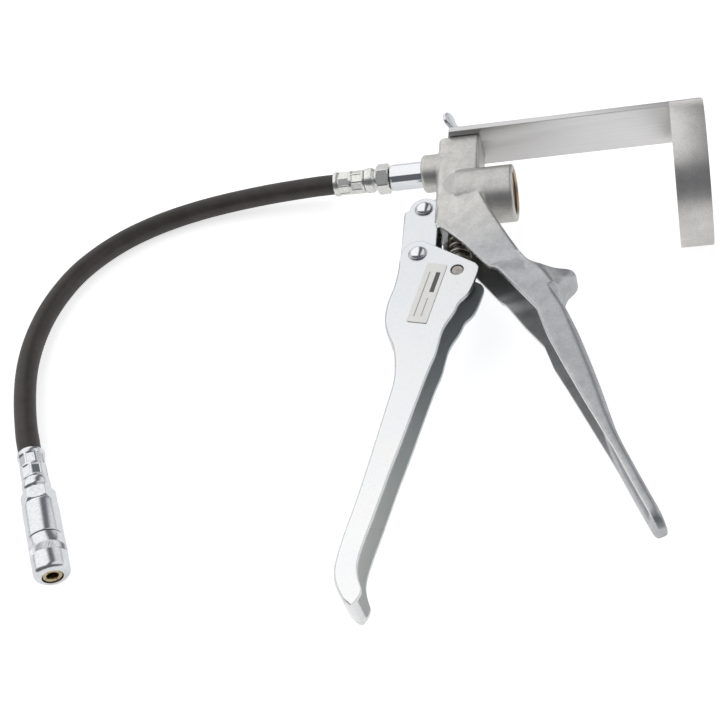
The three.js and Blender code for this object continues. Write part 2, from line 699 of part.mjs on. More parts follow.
const coupler = new THREE.Group();
coupler.position.set(...COUPLER_FACE);
coupler.rotation.set(0, 0, rad(COUPLER_HEADING));
part.add(coupler);
piece(coupler, "coupler_body", at(couplerBody(), 0.3, 0), ZINC);
piece(coupler, "coupler_sleeve", at(couplerSleeve(), 0.3, 0), ZINC);
piece(coupler, "coupler_seal", tube(5.6, 1.8, 28.4, 32.6, "x", 28), RUBBER);
piece(coupler, "coupler_ball", at(new THREE.SphereGeometry(3, 14, 9), 18, 0), CHROME);
piece(coupler, "coupler_spring", valveSpring(2.8, 0.8, 21.5, 27.6, 4), SPRING_STEEL);
for (let i = 0; i < 4; i++) {
  piece(coupler, `coupler_jaw_${i + 1}`, at(couplerJaw(i), 0.3, 0), BRASS);
}

export default part;
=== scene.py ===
"""Looks of the lever grease gun head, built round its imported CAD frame. Blender 4.5.

Shapes are drawn in millimetres in these axes, and placed in the frame in metres:
  GUN       x along the container port, y up the pump bore, z across the gun, 0 in its middle
  HEAD_END  the hose end at the head: 0 where its hexagon meets the tube, +x towards the hose
  TIP       the coupler: 0 at its face against the hose end, +x towards its nose
  TIP_END   the hose end at the coupler: 0 where its hexagon meets it, +x towards the hose
"""
import json
import math
import bmesh
import bpy
import numpy as np
from mathutils import Matrix, Vector


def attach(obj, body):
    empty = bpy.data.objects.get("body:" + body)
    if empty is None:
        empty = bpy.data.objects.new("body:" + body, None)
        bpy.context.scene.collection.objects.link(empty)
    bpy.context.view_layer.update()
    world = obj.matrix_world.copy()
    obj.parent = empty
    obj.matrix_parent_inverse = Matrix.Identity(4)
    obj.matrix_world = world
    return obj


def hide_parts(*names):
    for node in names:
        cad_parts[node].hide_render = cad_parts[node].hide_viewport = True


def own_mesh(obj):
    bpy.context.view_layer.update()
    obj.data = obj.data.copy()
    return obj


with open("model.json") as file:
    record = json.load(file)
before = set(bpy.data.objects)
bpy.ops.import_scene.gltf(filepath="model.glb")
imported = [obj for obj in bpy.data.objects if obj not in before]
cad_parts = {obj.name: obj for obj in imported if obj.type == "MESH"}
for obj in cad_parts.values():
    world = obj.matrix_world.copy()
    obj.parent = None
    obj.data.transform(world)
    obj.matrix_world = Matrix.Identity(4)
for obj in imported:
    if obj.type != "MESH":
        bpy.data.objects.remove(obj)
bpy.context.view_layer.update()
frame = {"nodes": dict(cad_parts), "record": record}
NODES = frame["nodes"]
JOINTS = {j["name"]: j for j in frame["record"]["behaviour"]["joints"]}
MOUNTS = {m["name"]: m for m in frame["record"]["mounts"]}

# ---------- dimensions, mm
GAP = 0.3  # left between screwed pieces

UPPER_PIVOT = (-17, -12)  # link on the head's lug
LOWER_PIVOT = (-18.3, -46)  # link on the lever
PIN = (3.2, -59.8)  # lever on the plunger
SHEET = 2
LINK_HALF = 7.2
LEVER_HALF = 9.5
LEVER_TIP_HALF = 10.6
LEVER_REACH = 205  # from the lower pivot to the tip
PIVOT_HOLE_R = 3.1
PIN_HOLE_R = 3.5
RIVET_GAP = 0.2

COLUMN = {"x0": -10.8, "x1": 12.7, "half": 10.5, "y0": -30, "y1": 38.3}
COLLAR_R, COLLAR_X = 10.6, -20.4
PORT_R, PORT_X = 15.7, 31.8
PORT_BORE_R, PORT_BORE_X = 12.3, 9
THREAD_PITCH = 2
BORE_X, BORE_R = 2.4, 5.15
WALL = 2.4
SPINE = 2.6
OPEN_SIDE = (-0.87, -0.48, 0)  # where the handle's channel opens
PAD_MIDDLE, PAD_R = (2.4, 1.6), 8.9  # dull half disc on the head

SPRING_TOP, SPRING_FOOT = -24.35, -49.35
SPRING_R, SPRING_WIRE, SPRING_TURNS = 6.15, 0.85, 6

OUTLET_Y = 21.8
TUBE_END = -39.1
HEX_AF = 15.2
HEX_L = 7.1
NECK_L = 7
FERRULE_R = 6.6
FERRULE_L = 17.8
HOSE_R = 5.7
COUPLER_R = 8.9
BODY_L = 20.7
SLEEVE_L = 21.6
JAWS = 4

BAR = {"y0": 38.75, "t": 3.7, "half": 14, "x0": -6.4, "x1": 133.6, "screw": 1.25}
RING = {"x0": 116.6, "x1": 133.8, "r": 38.5, "t": 2}

# Hose centre line, metres, the same route as its CAD solid.
HOSE_ROUTE = [
    (-.0885, .1191, .0165), (-.0964, .1191, .0155), (-.104, .1192, .0145), (-.1138, .1192, .0132),
    (-.1245, .1187, .0118), (-.1393, .1174, .0101), (-.1535, .1154, .0086), (-.1684, .1122, .0075),
    (-.1824, .1082, .0066), (-.1966, .1025, .0061), (-.2106, .0949, .0059), (-.2236, .0854, .0059),
    (-.2355, .0736, .0059), (-.2452, .0604, .0059), (-.252, .0462, .0059), (-.2564, .0321, .006),
    (-.2587, .0178, .0063), (-.2592, .0037, .0069), (-.2581, -.0106, .0077), (-.2557, -.024, .0085),
    (-.2524, -.0376, .009), (-.2483, -.0514, .0091), (-.2437, -.0639, .0091), (-.2402, -.0726, .0091),
    (-.2373, -.0801, .0091),
]


# ---------- axes
def axes(origin, x, y):
    """Places millimetre shapes: x and y are directions in the frame, origin a point in metres."""
    x, y = Vector(x).normalized(), Vector(y).normalized()
    z = x.cross(y)
    m = Matrix((x, y, z)).transposed().to_4x4()
    m.translation = Vector(origin)
    return m @ Matrix.Scale(0.001, 4)


def gun_axes():
    """The gun's axes from its joints: the lever's hinge is z, the plunger's slide is y."""
    z = Vector(JOINTS["lever_squeeze"]["axis"])
    y = Vector(JOINTS["plunger_slide"]["axis"])
    x = y.cross(z)
    pivot = Vector(JOINTS["link_swing"]["pos_m"])
    return axes(pivot - (x * UPPER_PIVOT[0] + y * UPPER_PIVOT[1]) / 1000, x, y)


GUN = gun_axes()
HALF_TURN = Matrix.Rotation(math.pi, 4, "Z")
HEAD_END = GUN @ Matrix.Translation((TUBE_END - GAP, OUTLET_Y, 0)) @ HALF_TURN
NOSE = MOUNTS["coupler_nose"]
NOSE_RISE = Vector((0, 0, 0.0061))  # metres, from the coupler's axis to the mount's point
HEADING = Vector(NOSE["axis"])
TIP_FACE = Vector(NOSE["pos_m"]) - HEADING * (BODY_L + SLEEVE_L + GAP) / 1000 - NOSE_RISE
TIP = axes(TIP_FACE, HEADING, Vector((0, 0, 1)).cross(HEADING))
TIP_END = TIP @ HALF_TURN
LABEL_MIDDLE = (-11.9, -73.9, 0)
LABEL_TURN = math.radians(76.2)
LABEL_PLACE = GUN @ Matrix.Translation(LABEL_MIDDLE) @ Matrix.Rotation(LABEL_TURN, 4, "Z")
# Bars on the label: middle and half width across it, start and end along it, grey.
LABEL_BARS = [(-2.2, 1.2, 0.5, 14, 0.14), (2.4, 0.3, -16, 14, 0.4), (-1.4, 0.3, -15.5, -3.5, 0.45)]


# ---------- camera, light, floor
CAMERA_AT = (0.01199, -0.45417, 0.56626)
CAMERA_TARGET = (-0.0803, 0.0004, 0)
CAMERA_ROLL = math.radians(-9.08)
CAMERA_LENS = 69.42

# A window's edge fades in between two shares of the light's direction along an axis.
UP_AND_BACK = (0, 0.86, 0.51)
WINDOW_LOW = (-0.08, 0.16)
WINDOW_HORIZON = (0.0, 0.16)
LEFT_WINDOW = (0.06, -0.16)
RIGHT_WINDOW = (0.3, 0.52)
RIGHT_SHARE = 0.72
WINDOW_COLOR = (1.08, 1.08, 1.09)
ROOM_COLOR = (0.13, 0.135, 0.15)

FLOOR_HALF = 4
FLOOR_GREY = 0.93
FLOOR_GLOW = 0.66
FLOOR_IMAGE = 0.33  # its glow as seen in metal

# Sockets of a Mix node that mixes colours.
MIX_FACTOR, MIX_A, MIX_B, MIX_RESULT = 0, 6, 7, 2


def make_camera():
    data = bpy.data.cameras.new("camera")
    data.lens = CAMERA_LENS
    data.sensor_width = 36
    data.clip_start = 0.01
    data.clip_end = 20
    camera = bpy.data.objects.new("camera", data)
    look = (Vector(CAMERA_TARGET) - Vector(CAMERA_AT)).to_track_quat("-Z", "Y")
    camera.matrix_world = Matrix.Translation(CAMERA_AT) @ look.to_matrix().to_4x4() \
        @ Matrix.Rotation(CAMERA_ROLL, 4, "Z")
    bpy.context.scene.collection.objects.link(camera)
    bpy.context.scene.camera = camera


def make_world():
    """A left and a weaker right window of light, above and behind, in a dim room."""
    world = bpy.data.worlds.new("studio")
    bpy.context.scene.world = world
    world.use_nodes = True
    tree = world.node_tree
    tree.nodes.clear()
    link = tree.links.new
    direction = tree.nodes.new("ShaderNodeTexCoord").outputs["Generated"]

    def edge(along, start, end):
        """0 to 1 as the direction's share along an axis goes from start to end."""
        dot = tree.nodes.new("ShaderNodeVectorMath")
        dot.operation = "DOT_PRODUCT"
        dot.inputs[1].default_value = along
        fade = tree.nodes.new("ShaderNodeMapRange")
        fade.interpolation_type = "SMOOTHSTEP"
        fade.inputs["From Min"].default_value = start
        fade.inputs["From Max"].default_value = end
        link(direction, dot.inputs[0])
        link(dot.outputs["Value"], fade.inputs["Value"])
        return fade.outputs["Result"]

    def times(a, b):
        """Product of a socket and another socket or a number."""
        node = tree.nodes.new("ShaderNodeMath")
        node.operation = "MULTIPLY"
        link(a, node.inputs[0])
        if isinstance(b, float):
            node.inputs[1].default_value = b
        else:
            link(b, node.inputs[1])
        return node.outputs[0]

    sides = tree.nodes.new("ShaderNodeMath")
    sides.operation = "MAXIMUM"
    link(edge((1, 0, 0), *LEFT_WINDOW), sides.inputs[0])
    link(times(edge((1, 0, 0), *RIGHT_WINDOW), RIGHT_SHARE), sides.inputs[1])
    window = times(edge(UP_AND_BACK, *WINDOW_LOW), sides.outputs[0])
    window = times(window, edge((0, 0, 1), *WINDOW_HORIZON))
    color = tree.nodes.new("ShaderNodeMix")
    color.data_type = "RGBA"
    color.inputs[MIX_A].default_value = (*ROOM_COLOR, 1)
    color.inputs[MIX_B].default_value = (*WINDOW_COLOR, 1)
    back = tree.nodes.new("ShaderNodeBackground")
    out = tree.nodes.new("ShaderNodeOutputWorld")
    link(window, color.inputs[MIX_FACTOR])
    link(color.outputs[MIX_RESULT], back.inputs["Color"])
    link(back.outputs["Background"], out.inputs["Surface"])


def make_floor():
    """A pale table that glows, so that shadows on it stay faint; its image in metal is duller."""
    corners = [(x * FLOOR_HALF, y * FLOOR_HALF, 0) for x, y in ((-1, -1), (1, -1), (1, 1), (-1, 1))]
    mesh = bpy.data.meshes.new("floor")
    mesh.from_pydata(corners, [], [(0, 1, 2, 3)])
    floor = bpy.data.objects.new("floor", mesh)
    bpy.context.scene.collection.objects.link(floor)
    material = bpy.data.materials.new("floor")
    material.use_nodes = True
    tree = material.node_tree
    shader = tree.nodes["Principled BSDF"]
    shader.inputs["Base Color"].default_value = (FLOOR_GREY, FLOOR_GREY, FLOOR_GREY, 1)
    shader.inputs["Roughness"].default_value = 0.9
    shader.inputs["Specular IOR Level"].default_value = 0
    shader.inputs["Emission Color"].default_value = (1, 1, 1, 1)
    path = tree.nodes.new("ShaderNodeLightPath")
    glow = tree.nodes.new("ShaderNodeMapRange")
    glow.inputs["To Min"].default_value = FLOOR_GLOW
    glow.inputs["To Max"].default_value = FLOOR_IMAGE
    tree.links.new(path.outputs["Is Glossy Ray"], glow.inputs["Value"])
    tree.links.new(glow.outputs["Result"], shader.inputs["Emission Strength"])
    mesh.materials.append(material)


make_camera()
make_world()
make_floor()
bpy.context.scene.view_settings.view_transform = "Standard"


# ---------- materials
class Tree:
    """A material's nodes. Values are sockets, numbers or colours; places are in millimetres."""

    def __init__(self, name):
        self.material = bpy.data.materials.new(name)
        self.material.use_nodes = True
        self.tree = self.material.node_tree
        self.shader = self.tree.nodes["Principled BSDF"]

    def add(self, kind, **inputs):
        """A new shader node; an input's name has _ for each space."""
        node = self.tree.nodes.new("ShaderNode" + kind)
        for key, value in inputs.items():
            self.set(node.inputs[key.replace("_", " ")], value)
        return node

    def set(self, socket, value):
        if isinstance(value, bpy.types.NodeSocket):
            self.tree.links.new(value, socket)
        elif isinstance(value, tuple) and len(value) == 3 and socket.type == "RGBA":
            socket.default_value = (*value, 1)
        else:
            socket.default_value = value

    def look(self, **inputs):
        """Sets the surface's inputs."""
        for key, value in inputs.items():
            self.set(self.shader.inputs[key.replace("_", " ")], value)

    def coords(self, place=GUN):
        """The point in a shape's own axes, in millimetres."""
        geo = self.add("TexCoord")
        mapping = self.add("Mapping", Vector=geo.outputs["Object"])
        mapping.vector_type = "TEXTURE"
        mapping.inputs["Location"].default_value = place.translation
        mapping.inputs["Rotation"].default_value = place.to_euler()
        mapping.inputs["Scale"].default_value = (0.001, 0.001, 0.001)
        return mapping.outputs["Vector"]

    def stretched(self, vector, scale):
        """The point with each axis scaled."""
        mapping = self.add("Mapping", Vector=vector)
        mapping.inputs["Scale"].default_value = scale
        return mapping.outputs["Vector"]

    def noise(self, vector, scale, detail, roughness=0.55):
        node = self.add("TexNoise", Vector=vector, Scale=scale, Detail=detail, Roughness=roughness)
        return node.outputs["Fac"]

    def ramp(self, value, *stops):
        """Stops are (position, grey or colour)."""
        node = self.add("ValToRGB", Fac=value)
        elements = node.color_ramp.elements
        while len(elements) < len(stops):
            elements.new(0.5)
        for element, (position, color) in zip(elements, stops):
            element.position = position
            color = color if isinstance(color, tuple) else (color,) * 3
            element.color = (*color, 1)
        return node.outputs["Color"]

    def mix(self, a, b, factor, blend="MIX"):
        """From a to b by the factor."""
        node = self.add("Mix")
        node.data_type = "RGBA"
        node.blend_type = blend
        for index, value in ((MIX_FACTOR, factor), (MIX_A, a), (MIX_B, b)):
            socket = node.inputs[index]
            if isinstance(value, (int, float)) and socket.type == "RGBA":
                value = (value,) * 3
            self.set(socket, value)
        return node.outputs[MIX_RESULT]

    def shade(self, base, noise, dark, light, amount):
        """The base darkened over a noise; dark and light are the two stops of its ramp."""
        return self.mix(base, self.ramp(noise, dark, light), amount, "MULTIPLY")

    def math(self, operation, a, b=0.0):
        node = self.add("Math")
        node.operation = operation
        self.set(node.inputs[0], a)
        self.set(node.inputs[1], b)
        return node.outputs[0]

    def times(self, first, *others):
        for other in others:
            first = self.math("MULTIPLY", first, other)
        return first

    def below(self, value, limit):
        return self.math("LESS_THAN", value, limit)

    def above(self, value, limit):
        return self.math("GREATER_THAN", value, limit)

    def rise(self, value, start, end):
        """0 to 1 as the value goes from start to end."""
        return self.add("MapRange", Value=value, From_Min=start, From_Max=end).outputs["Result"]

    def dot(self, a, b):
        node = self.add("VectorMath")
        node.operation = "DOT_PRODUCT"
        self.set(node.inputs[0], a)
        self.set(node.inputs[1], b)
        return node.outputs["Value"]

    def distance(self, a, b, a0, b0):
        """Distance of the point (a, b) from (a0, b0)."""
        point = self.add("CombineXYZ", X=a, Y=b)
        node = self.add("VectorMath")
        node.operation = "DISTANCE"
        self.set(node.inputs[0], point.outputs["Vector"])
        node.inputs[1].default_value = (a0, b0, 0)
        return node.outputs["Value"]

    def rounded_normal(self, radius):
        """The normal of the skin with its edges rounded off, radius in metres."""
        return self.add("Bevel", Radius=radius).outputs["Normal"]

    def skin_normal(self):
        return self.add("NewGeometry").outputs["Normal"]

    def worn_edges(self, radius):
        """1 on sharp edges, 0 on flat and softly curved skin."""
        bent = self.dot(self.rounded_normal(radius), self.skin_normal())
        return self.ramp(bent, (0.75, 1.0), (0.985, 0.0))

    def bump(self, height, distance, strength, normal=None):
        """A normal raised by the height, distance in metres at its full strength."""
        node = self.add("Bump", Height=height, Distance=distance, Strength=strength)
        if normal is not None:
            self.set(node.inputs["Normal"], normal)
        return node.outputs["Normal"]


def cast_metal():
    """Grey cast alloy: warm and light on the head, cooler down the handle, worn at its edges, with a painted
    highlight on the open edges of the handle's walls.
    """
    t = Tree("cast_alloy")
    p = t.coords()
    x, y, z = t.add("SeparateXYZ", Vector=p).outputs
    mottle = t.noise(p, 0.7, 5, 0.6)
    speck = t.noise(p, 2.6, 3, 0.6)
    cloud = t.noise(p, 0.13, 4, 0.6)
    base = t.mix((0.7, 0.69, 0.66), (0.57, 0.575, 0.585), t.rise(y, -20, -50))
    base = t.shade(base, cloud, (0.36, 0.9), (0.62, 1.05), 1.0)
    base = t.shade(base, mottle, (0.32, 0.9), (0.62, 1.0), 0.9)
    base = t.shade(base, speck, (0.34, 0.86), (0.52, 1.0), 0.6)
    pad = t.times(t.below(t.distance(x, y, *PAD_MIDDLE), PAD_R), t.above(z, 9.5), t.below(x, 1.2))
    base = t.mix(base, (0.56, 0.55, 0.53), t.times(pad, 0.8))
    port_wall = t.times(t.below(t.distance(y, z, 0, 0), PORT_R - 2.6), t.above(x, 8.5))
    base = t.mix(base, t.mix((0.78, 0.77, 0.75), (0.55, 0.46, 0.3), t.rise(y, -6, -1)), port_wall)
    edges = t.worn_edges(0.0011)
    base = t.mix(base, (0.93, 0.91, 0.88), t.times(edges, 0.85))
    # Painted highlight: the handle walls' skin that faces the open side is made light and glossy.
    open_side = GUN.to_3x3().normalized() @ Vector(OPEN_SIDE)
    painted_rim_highlight = t.times(t.above(t.dot(t.skin_normal(), open_side), 0.72),
                  t.above(t.math("ABSOLUTE", z), 8.4), t.below(y, -24))
    base = t.mix(base, (0.97, 0.96, 0.93), t.times(painted_rim_highlight, 0.85))
    # Gloss of the worn edges and of the painted highlight together.
    wear_and_highlight = t.math("MAXIMUM", edges, painted_rim_highlight)
    rough = t.mix(t.ramp(mottle, (0.3, 0.46), (0.7, 0.38)), 0.3, wear_and_highlight)
    normal = t.bump(mottle, 0.00006, 0.35, t.rounded_normal(0.0004))
    normal = t.bump(speck, 0.00003, 0.25, normal)
    t.look(Base_Color=base, Metallic=1.0, Roughness=rough, Normal=normal)
    return t.material


def zinc():
    """Bright zinc on sheet: lighter down the lever, stained at its edges; its far side duller and in painted
    shade high up, in painted light low down.
    """
    t = Tree("zinc_plate")
    p = t.coords()
    _, y, z = t.add("SeparateXYZ", Vector=p).outputs
    cloud = t.noise(p, 0.05, 3, 0.5)
    mottle = t.noise(p, 0.9, 5, 0.65)
    grain = t.noise(p, 5.0, 2)
    low = t.rise(y, -60, -215)
    far = t.below(z, -7)
    base = t.mix((0.775, 0.785, 0.795), (0.93, 0.925, 0.915), low)
    base = t.shade(base, cloud, (0.35, (0.965, 0.985, 1.0)), (0.65, (1.0, 0.995, 0.985)), 1.0)
    base = t.shade(base, mottle, (0.3, 0.975), (0.6, 1.0), 0.7)
    base = t.shade(base, grain, (0.3, 0.985), (0.6, 1.0), 0.7)
    stain = t.times(t.worn_edges(0.0012), t.ramp(mottle, (0.35, 0.6), (0.6, 1.0)), 0.8)
    base = t.mix(base, (0.4, 0.445, 0.5), stain)
    # Far side: painted shade, a dark greenish grey high up in the channel, turning to painted light, near
    # white, low down.
    base = t.mix(base, t.mix((0.66, 0.71, 0.73), (0.97, 1.0, 0.96), low), far)
    rough = t.ramp(mottle, (0.3, 0.288), (0.7, 0.216))
    rough = t.mix(rough, t.mix(0.62, 0.24, low), far)
    # Less metal low on the far side, so that diffuse light adds to the painted light there.
    metallic = t.math("SUBTRACT", 1.0, t.times(far, low, 0.95))
    t.look(Base_Color=base, Metallic=metallic, Roughness=rough, Normal=t.rounded_normal(0.0003))
    return t.material


def turned_metal(name, tint, roughness, place, lines=9.0, stain=0.9):
    """Turned and plated: fine rings round the x axis."""
    t = Tree(name)
    p = t.coords(place)
    rings = t.noise(t.stretched(p, (lines, 0.15, 0.15)), 1.0, 4, 0.6)
    mottle = t.noise(p, 0.7, 5, 0.6)
    base = t.shade(tint, mottle, (0.3, stain), (0.62, 1.0), 0.8)
    rough = t.ramp(mottle, (0.3, roughness * 1.3), (0.7, roughness * 0.85))
    normal = t.bump(rings, 0.00002, 0.35)
    normal = t.bump(t.noise(p, 3.5, 3), 0.00002, 0.25, normal)
    t.look(Base_Color=base, Metallic=1.0, Roughness=rough, Normal=normal)
    return t.material


def brushed_aluminium():
    """The bar: brushed along its length, greyer near the head, with a few stains."""
    t = Tree("aluminium")
    p = t.coords()
    x, _, _ = t.add("SeparateXYZ", Vector=p).outputs
    fine = t.noise(t.stretched(p, (0.05, 7, 5.5)), 1.0, 3, 0.6)
    broad = t.noise(t.stretched(p, (0.012, 0.9, 0.7)), 1.0, 4, 0.6)
    stain = t.noise(p, 0.35, 6, 0.7)
    base = t.mix((0.68, 0.67, 0.665), (0.84, 0.83, 0.825), t.rise(x, 8, 70))
    base = t.shade(base, fine, (0.3, 0.9), (0.65, 1.0), 0.6)
    base = t.shade(base, broad, (0.3, 0.93), (0.7, 1.0), 0.7)
    base = t.mix(base, (0.36, 0.35, 0.34), t.ramp(stain, (0.7, 0.0), (0.78, 0.6)))
    rough = t.ramp(fine, (0.3, 0.42), (0.7, 0.32))
    t.look(Base_Color=base, Metallic=1.0, Roughness=rough, Normal=t.bump(fine, 0.00002, 0.35))
    return t.material


def ring_aluminium():
    """Rolled strip: faint scuffs, a few dark marks near the bar, and a painted shade on its lower part."""
    t = Tree("ring_aluminium")
    p = t.coords()
    _, y, _ = t.add("SeparateXYZ", Vector=p).outputs
    speck = t.noise(p, 2.4, 4, 0.65)
    cloud = t.noise(p, 0.16, 5, 0.6)
    scuff = t.noise(t.stretched(p, (0.8, 2.2, 2.2)), 0.5, 6, 0.75)
    base = t.mix((0.8, 0.78, 0.75), (0.9, 0.88, 0.85), t.ramp(cloud, (0.35, 0.0), (0.65, 1.0)))
    base = t.shade(base, speck, (0.34, 0.72), (0.56, 1.0), 0.8)
    marks = t.times(t.ramp(scuff, (0.56, 0.0), (0.66, 0.7)), t.rise(y, 12, 34))
    base = t.mix(base, (0.3, 0.29, 0.28), marks)
    # Painted shade: the ring darkens towards its bottom.
    base = t.mix(base, 0.85, t.rise(y, 12, -20), "MULTIPLY")
    rough = t.ramp(speck, (0.3, 0.46), (0.7, 0.32))
    t.look(Base_Color=base, Metallic=1.0, Roughness=rough, Normal=t.bump(speck, 0.00003, 0.6))
    return t.material


def rubber(name, color):
    """Dull black rubber, a little paler in clouds and specks."""
    t = Tree(name)
    p = t.coords()
    grain = t.noise(p, 2.2, 5, 0.65)
    cloud = t.noise(p, 0.12, 4, 0.6)
    base = t.mix(color, tuple(c * 1.5 for c in color), t.ramp(cloud, (0.35, 0.0), (0.7, 1.0)))
    base = t.mix(base, tuple(c * 2.4 for c in color), t.ramp(grain, (0.6, 0.0), (0.8, 0.5)))
    rough = t.ramp(grain, (0.3, 0.55), (0.7, 0.42))
    t.look(Base_Color=base, Roughness=rough, Normal=t.bump(grain, 0.00004, 0.5))
    return t.material


def plain(name, color, roughness, metallic=0.0, scale=1.2):
    """Small pieces: one finish with its grain and slight colour change."""
    t = Tree(name)
    p = t.coords()
    grain = t.noise(p, scale, 5, 0.6)
    dark = tuple(c * 0.72 for c in color)
    base = t.mix(dark, color, t.ramp(grain, (0.3, 0.0), (0.6, 1.0)))
    rough = t.ramp(grain, (0.3, roughness * 1.25), (0.7, roughness * 0.85))
    t.look(Base_Color=base, Metallic=metallic, Roughness=rough, Normal=t.bump(grain, 0.00003, 0.4))
    return t.material


def label_foil():
    """Plain foil; three dark bars stand where print would be."""
    t = Tree("label_foil")
    p = t.coords(LABEL_PLACE)
    x, y, _ = t.add("SeparateXYZ", Vector=p).outputs
    grain = t.noise(p, 0.8, 3, 0.5)
    base = t.mix((0.9, 0.89, 0.86), (0.94, 0.93, 0.9), grain)
    for middle, half, start, end, grey in LABEL_BARS:
        across = t.math("ABSOLUTE", t.math("SUBTRACT", y, middle))
        bar = t.times(t.below(across, half), t.above(x, start), t.below(x, end))
        base = t.mix(base, grey, bar)
    t.look(Base_Color=base, Metallic=0.6, Roughness=0.45, Normal=t.bump(grain, 0.00001, 0.3))
    return t.material


CAST = cast_metal()
ZINC = zinc()
TIP_ZINC = turned_metal("coupler_zinc", (0.83, 0.845, 0.86), 0.19, TIP, stain=0.86)
END_ZINC = turned_metal("fitting_zinc", (0.86, 0.86, 0.82), 0.26, GUN, stain=0.8)
CHROME = turned_metal("bright_plate", (0.84, 0.855, 0.875), 0.1, GUN, 5.0, 0.96)
ALU = brushed_aluminium()
RING_ALU = ring_aluminium()
RUBBER = rubber("hose_rubber", (0.042, 0.0355, 0.032))
SEAL = rubber("seal_rubber", (0.02, 0.02, 0.02))
STEEL = plain("bare_steel", (0.55, 0.53, 0.5), 0.35, 1.0)
PIN_END = plain("pin_steel", (0.44, 0.41, 0.38), 0.34, 1.0, 0.6)
SPRING = plain("spring_steel", (0.42, 0.39, 0.33), 0.3, 1.0)
BRASS = plain("brass_finish", (0.62, 0.52, 0.32), 0.3, 1.0)
FIBRE = plain("fibre", (0.42, 0.27, 0.11), 0.7)
LABEL = label_foil()


# ---------- shapes, mm
def mesh_of(verts, faces):
    """A mesh with its faces turned outwards."""
    mesh = bpy.data.meshes.new("shape")
    mesh.from_pydata([tuple(v) for v in verts], [], [tuple(f) for f in faces])
    mesh.validate()
    bm = bmesh.new()
    bm.from_mesh(mesh)
    bmesh.ops.recalc_face_normals(bm, faces=bm.faces)
    bm.to_mesh(mesh)
    bm.free()
    return mesh


def rounded(profile, radius=0.25, steps=3):
    """Turns a closed profile's corners into small arcs."""
    loop = [Vector(p) for p in profile]
    if (loop[0] - loop[-1]).length < 1e-6:
        loop.pop()
    out = []
    for i, p in enumerate(loop):
        before, after = loop[i - 1] - p, loop[(i + 1) % len(loop)] - p
        if p.y < 1e-6 or before.angle(after, math.pi) > math.radians(172):
            out.append(p)
            continue
        d = min(radius, 0.45 * before.length, 0.45 * after.length)
        a, b = p + before.normalized() * d, p + after.normalized() * d
        for k in range(steps + 1):
            s = k / steps
            out.append(a * (1 - s) ** 2 + p * 2 * s * (1 - s) + b * s * s)
    return out


def lathe(profile, segments=96, shape=None, axis="x"):
    """Turns a closed profile of (along, radius) round an axis; shape(x, r, angle) bends the radius."""
    angle = np.arange(segments) * 2 * math.pi / segments
    verts, rows = [], []
    for x, r in profile:
        if r < 1e-6:
            rows.append([len(verts)])
            verts.append((x, 0, 0))
            continue
        radii = np.full(segments, float(r)) if shape is None else shape(x, r, angle)
        rows.append(list(range(len(verts), len(verts) + segments)))
        verts += list(zip([x] * segments, radii * np.cos(angle), radii * np.sin(angle)))
    faces = []
    for i in range(len(rows)):
        a, b = rows[i], rows[(i + 1) % len(rows)]
        if len(a) == 1 and len(b) == 1:
            continue
        for k in range(segments):
            n = (k + 1) % segments
            quad = [a[k % len(a)], a[n % len(a)], b[n % len(b)], b[k % len(b)]]
            faces.append(list(dict.fromkeys(quad)))
    mesh = mesh_of(verts, faces)
    if axis == "y":
        mesh.transform(Matrix.Rotation(math.pi / 2, 4, "Z"))
    if axis == "z":
        mesh.transform(Matrix.Rotation(-math.pi / 2, 4, "Y"))
    return mesh


def cylinder(r, x0, x1, axis="x", segments=64):
    return lathe([(x0, 0), (x0, r), (x1, r), (x1, 0)], segments, axis=axis)


def stacked(verts, n):
    """Solid through rings of n points each, one after the other, closed at both ends."""
    faces = [list(range(n))[::-1], list(range(len(verts) - n, len(verts)))]
    for i in range(0, len(verts) - n, n):
        faces += [[i + k, i + (k + 1) % n, i + n + (k + 1) % n, i + n + k] for k in range(n)]
    return mesh_of(verts, faces)


def prism(points, z0, z1):
    """Solid between two heights, the same outline all the way."""
    return stacked([(x, y, z) for z in (z0, z1) for x, y in points], len(points))


SWAP_YZ = Matrix(((1, 0, 0, 0), (0, 0, 1, 0), (0, 1, 0, 0), (0, 0, 0, 1)))


def moved(mesh, x=0, y=0):
    mesh.transform(Matrix.Translation((x, y, 0)))
    return mesh


def arc(cx, cy, r, a0, a1, step=6):
    """Points of an arc from a0 to a1 degrees."""
    n = max(2, round(abs(a1 - a0) / step))
    return [(cx + r * math.cos(math.radians(a0 + (a1 - a0) * i / n)),
             cy + r * math.sin(math.radians(a0 + (a1 - a0) * i / n))) for i in range(n + 1)]


def between(v, w, at_v, at_w, u):
    """The point at u on the line that is v at at_v and w at at_w."""
    return ((at_w - u) * v + (u - at_v) * w) / (at_w - at_v)


def smooth_line(points, spacing=1.5):
    """A smooth line through the points, with its own points about spacing apart."""
    p = [np.array(q, float) for q in points]
    p = [2 * p[0] - p[1]] + p + [2 * p[-1] - p[-2]]
    out = []
    for i in range(1, len(p) - 2):
        a, b, c, d = p[i - 1:i + 3]
        steps = [max(np.linalg.norm(v), 1e-6) ** 0.5 for v in (b - a, c - b, d - c)]
        ta, tb, tc, td = np.cumsum([0] + steps)
        n = max(1, round(np.linalg.norm(c - b) / spacing))
        for k in range(n):
            u = tb + (tc - tb) * k / n
            ab, bc, cd = between(a, b, ta, tb, u), between(b, c, tb, tc, u), between(c, d, tc, td, u)
            abc, bcd = between(ab, bc, ta, tc, u), between(bc, cd, tb, td, u)
            out.append(between(abc, bcd, tb, tc, u))
    out.append(p[-2])
    return [tuple(q) for q in out]


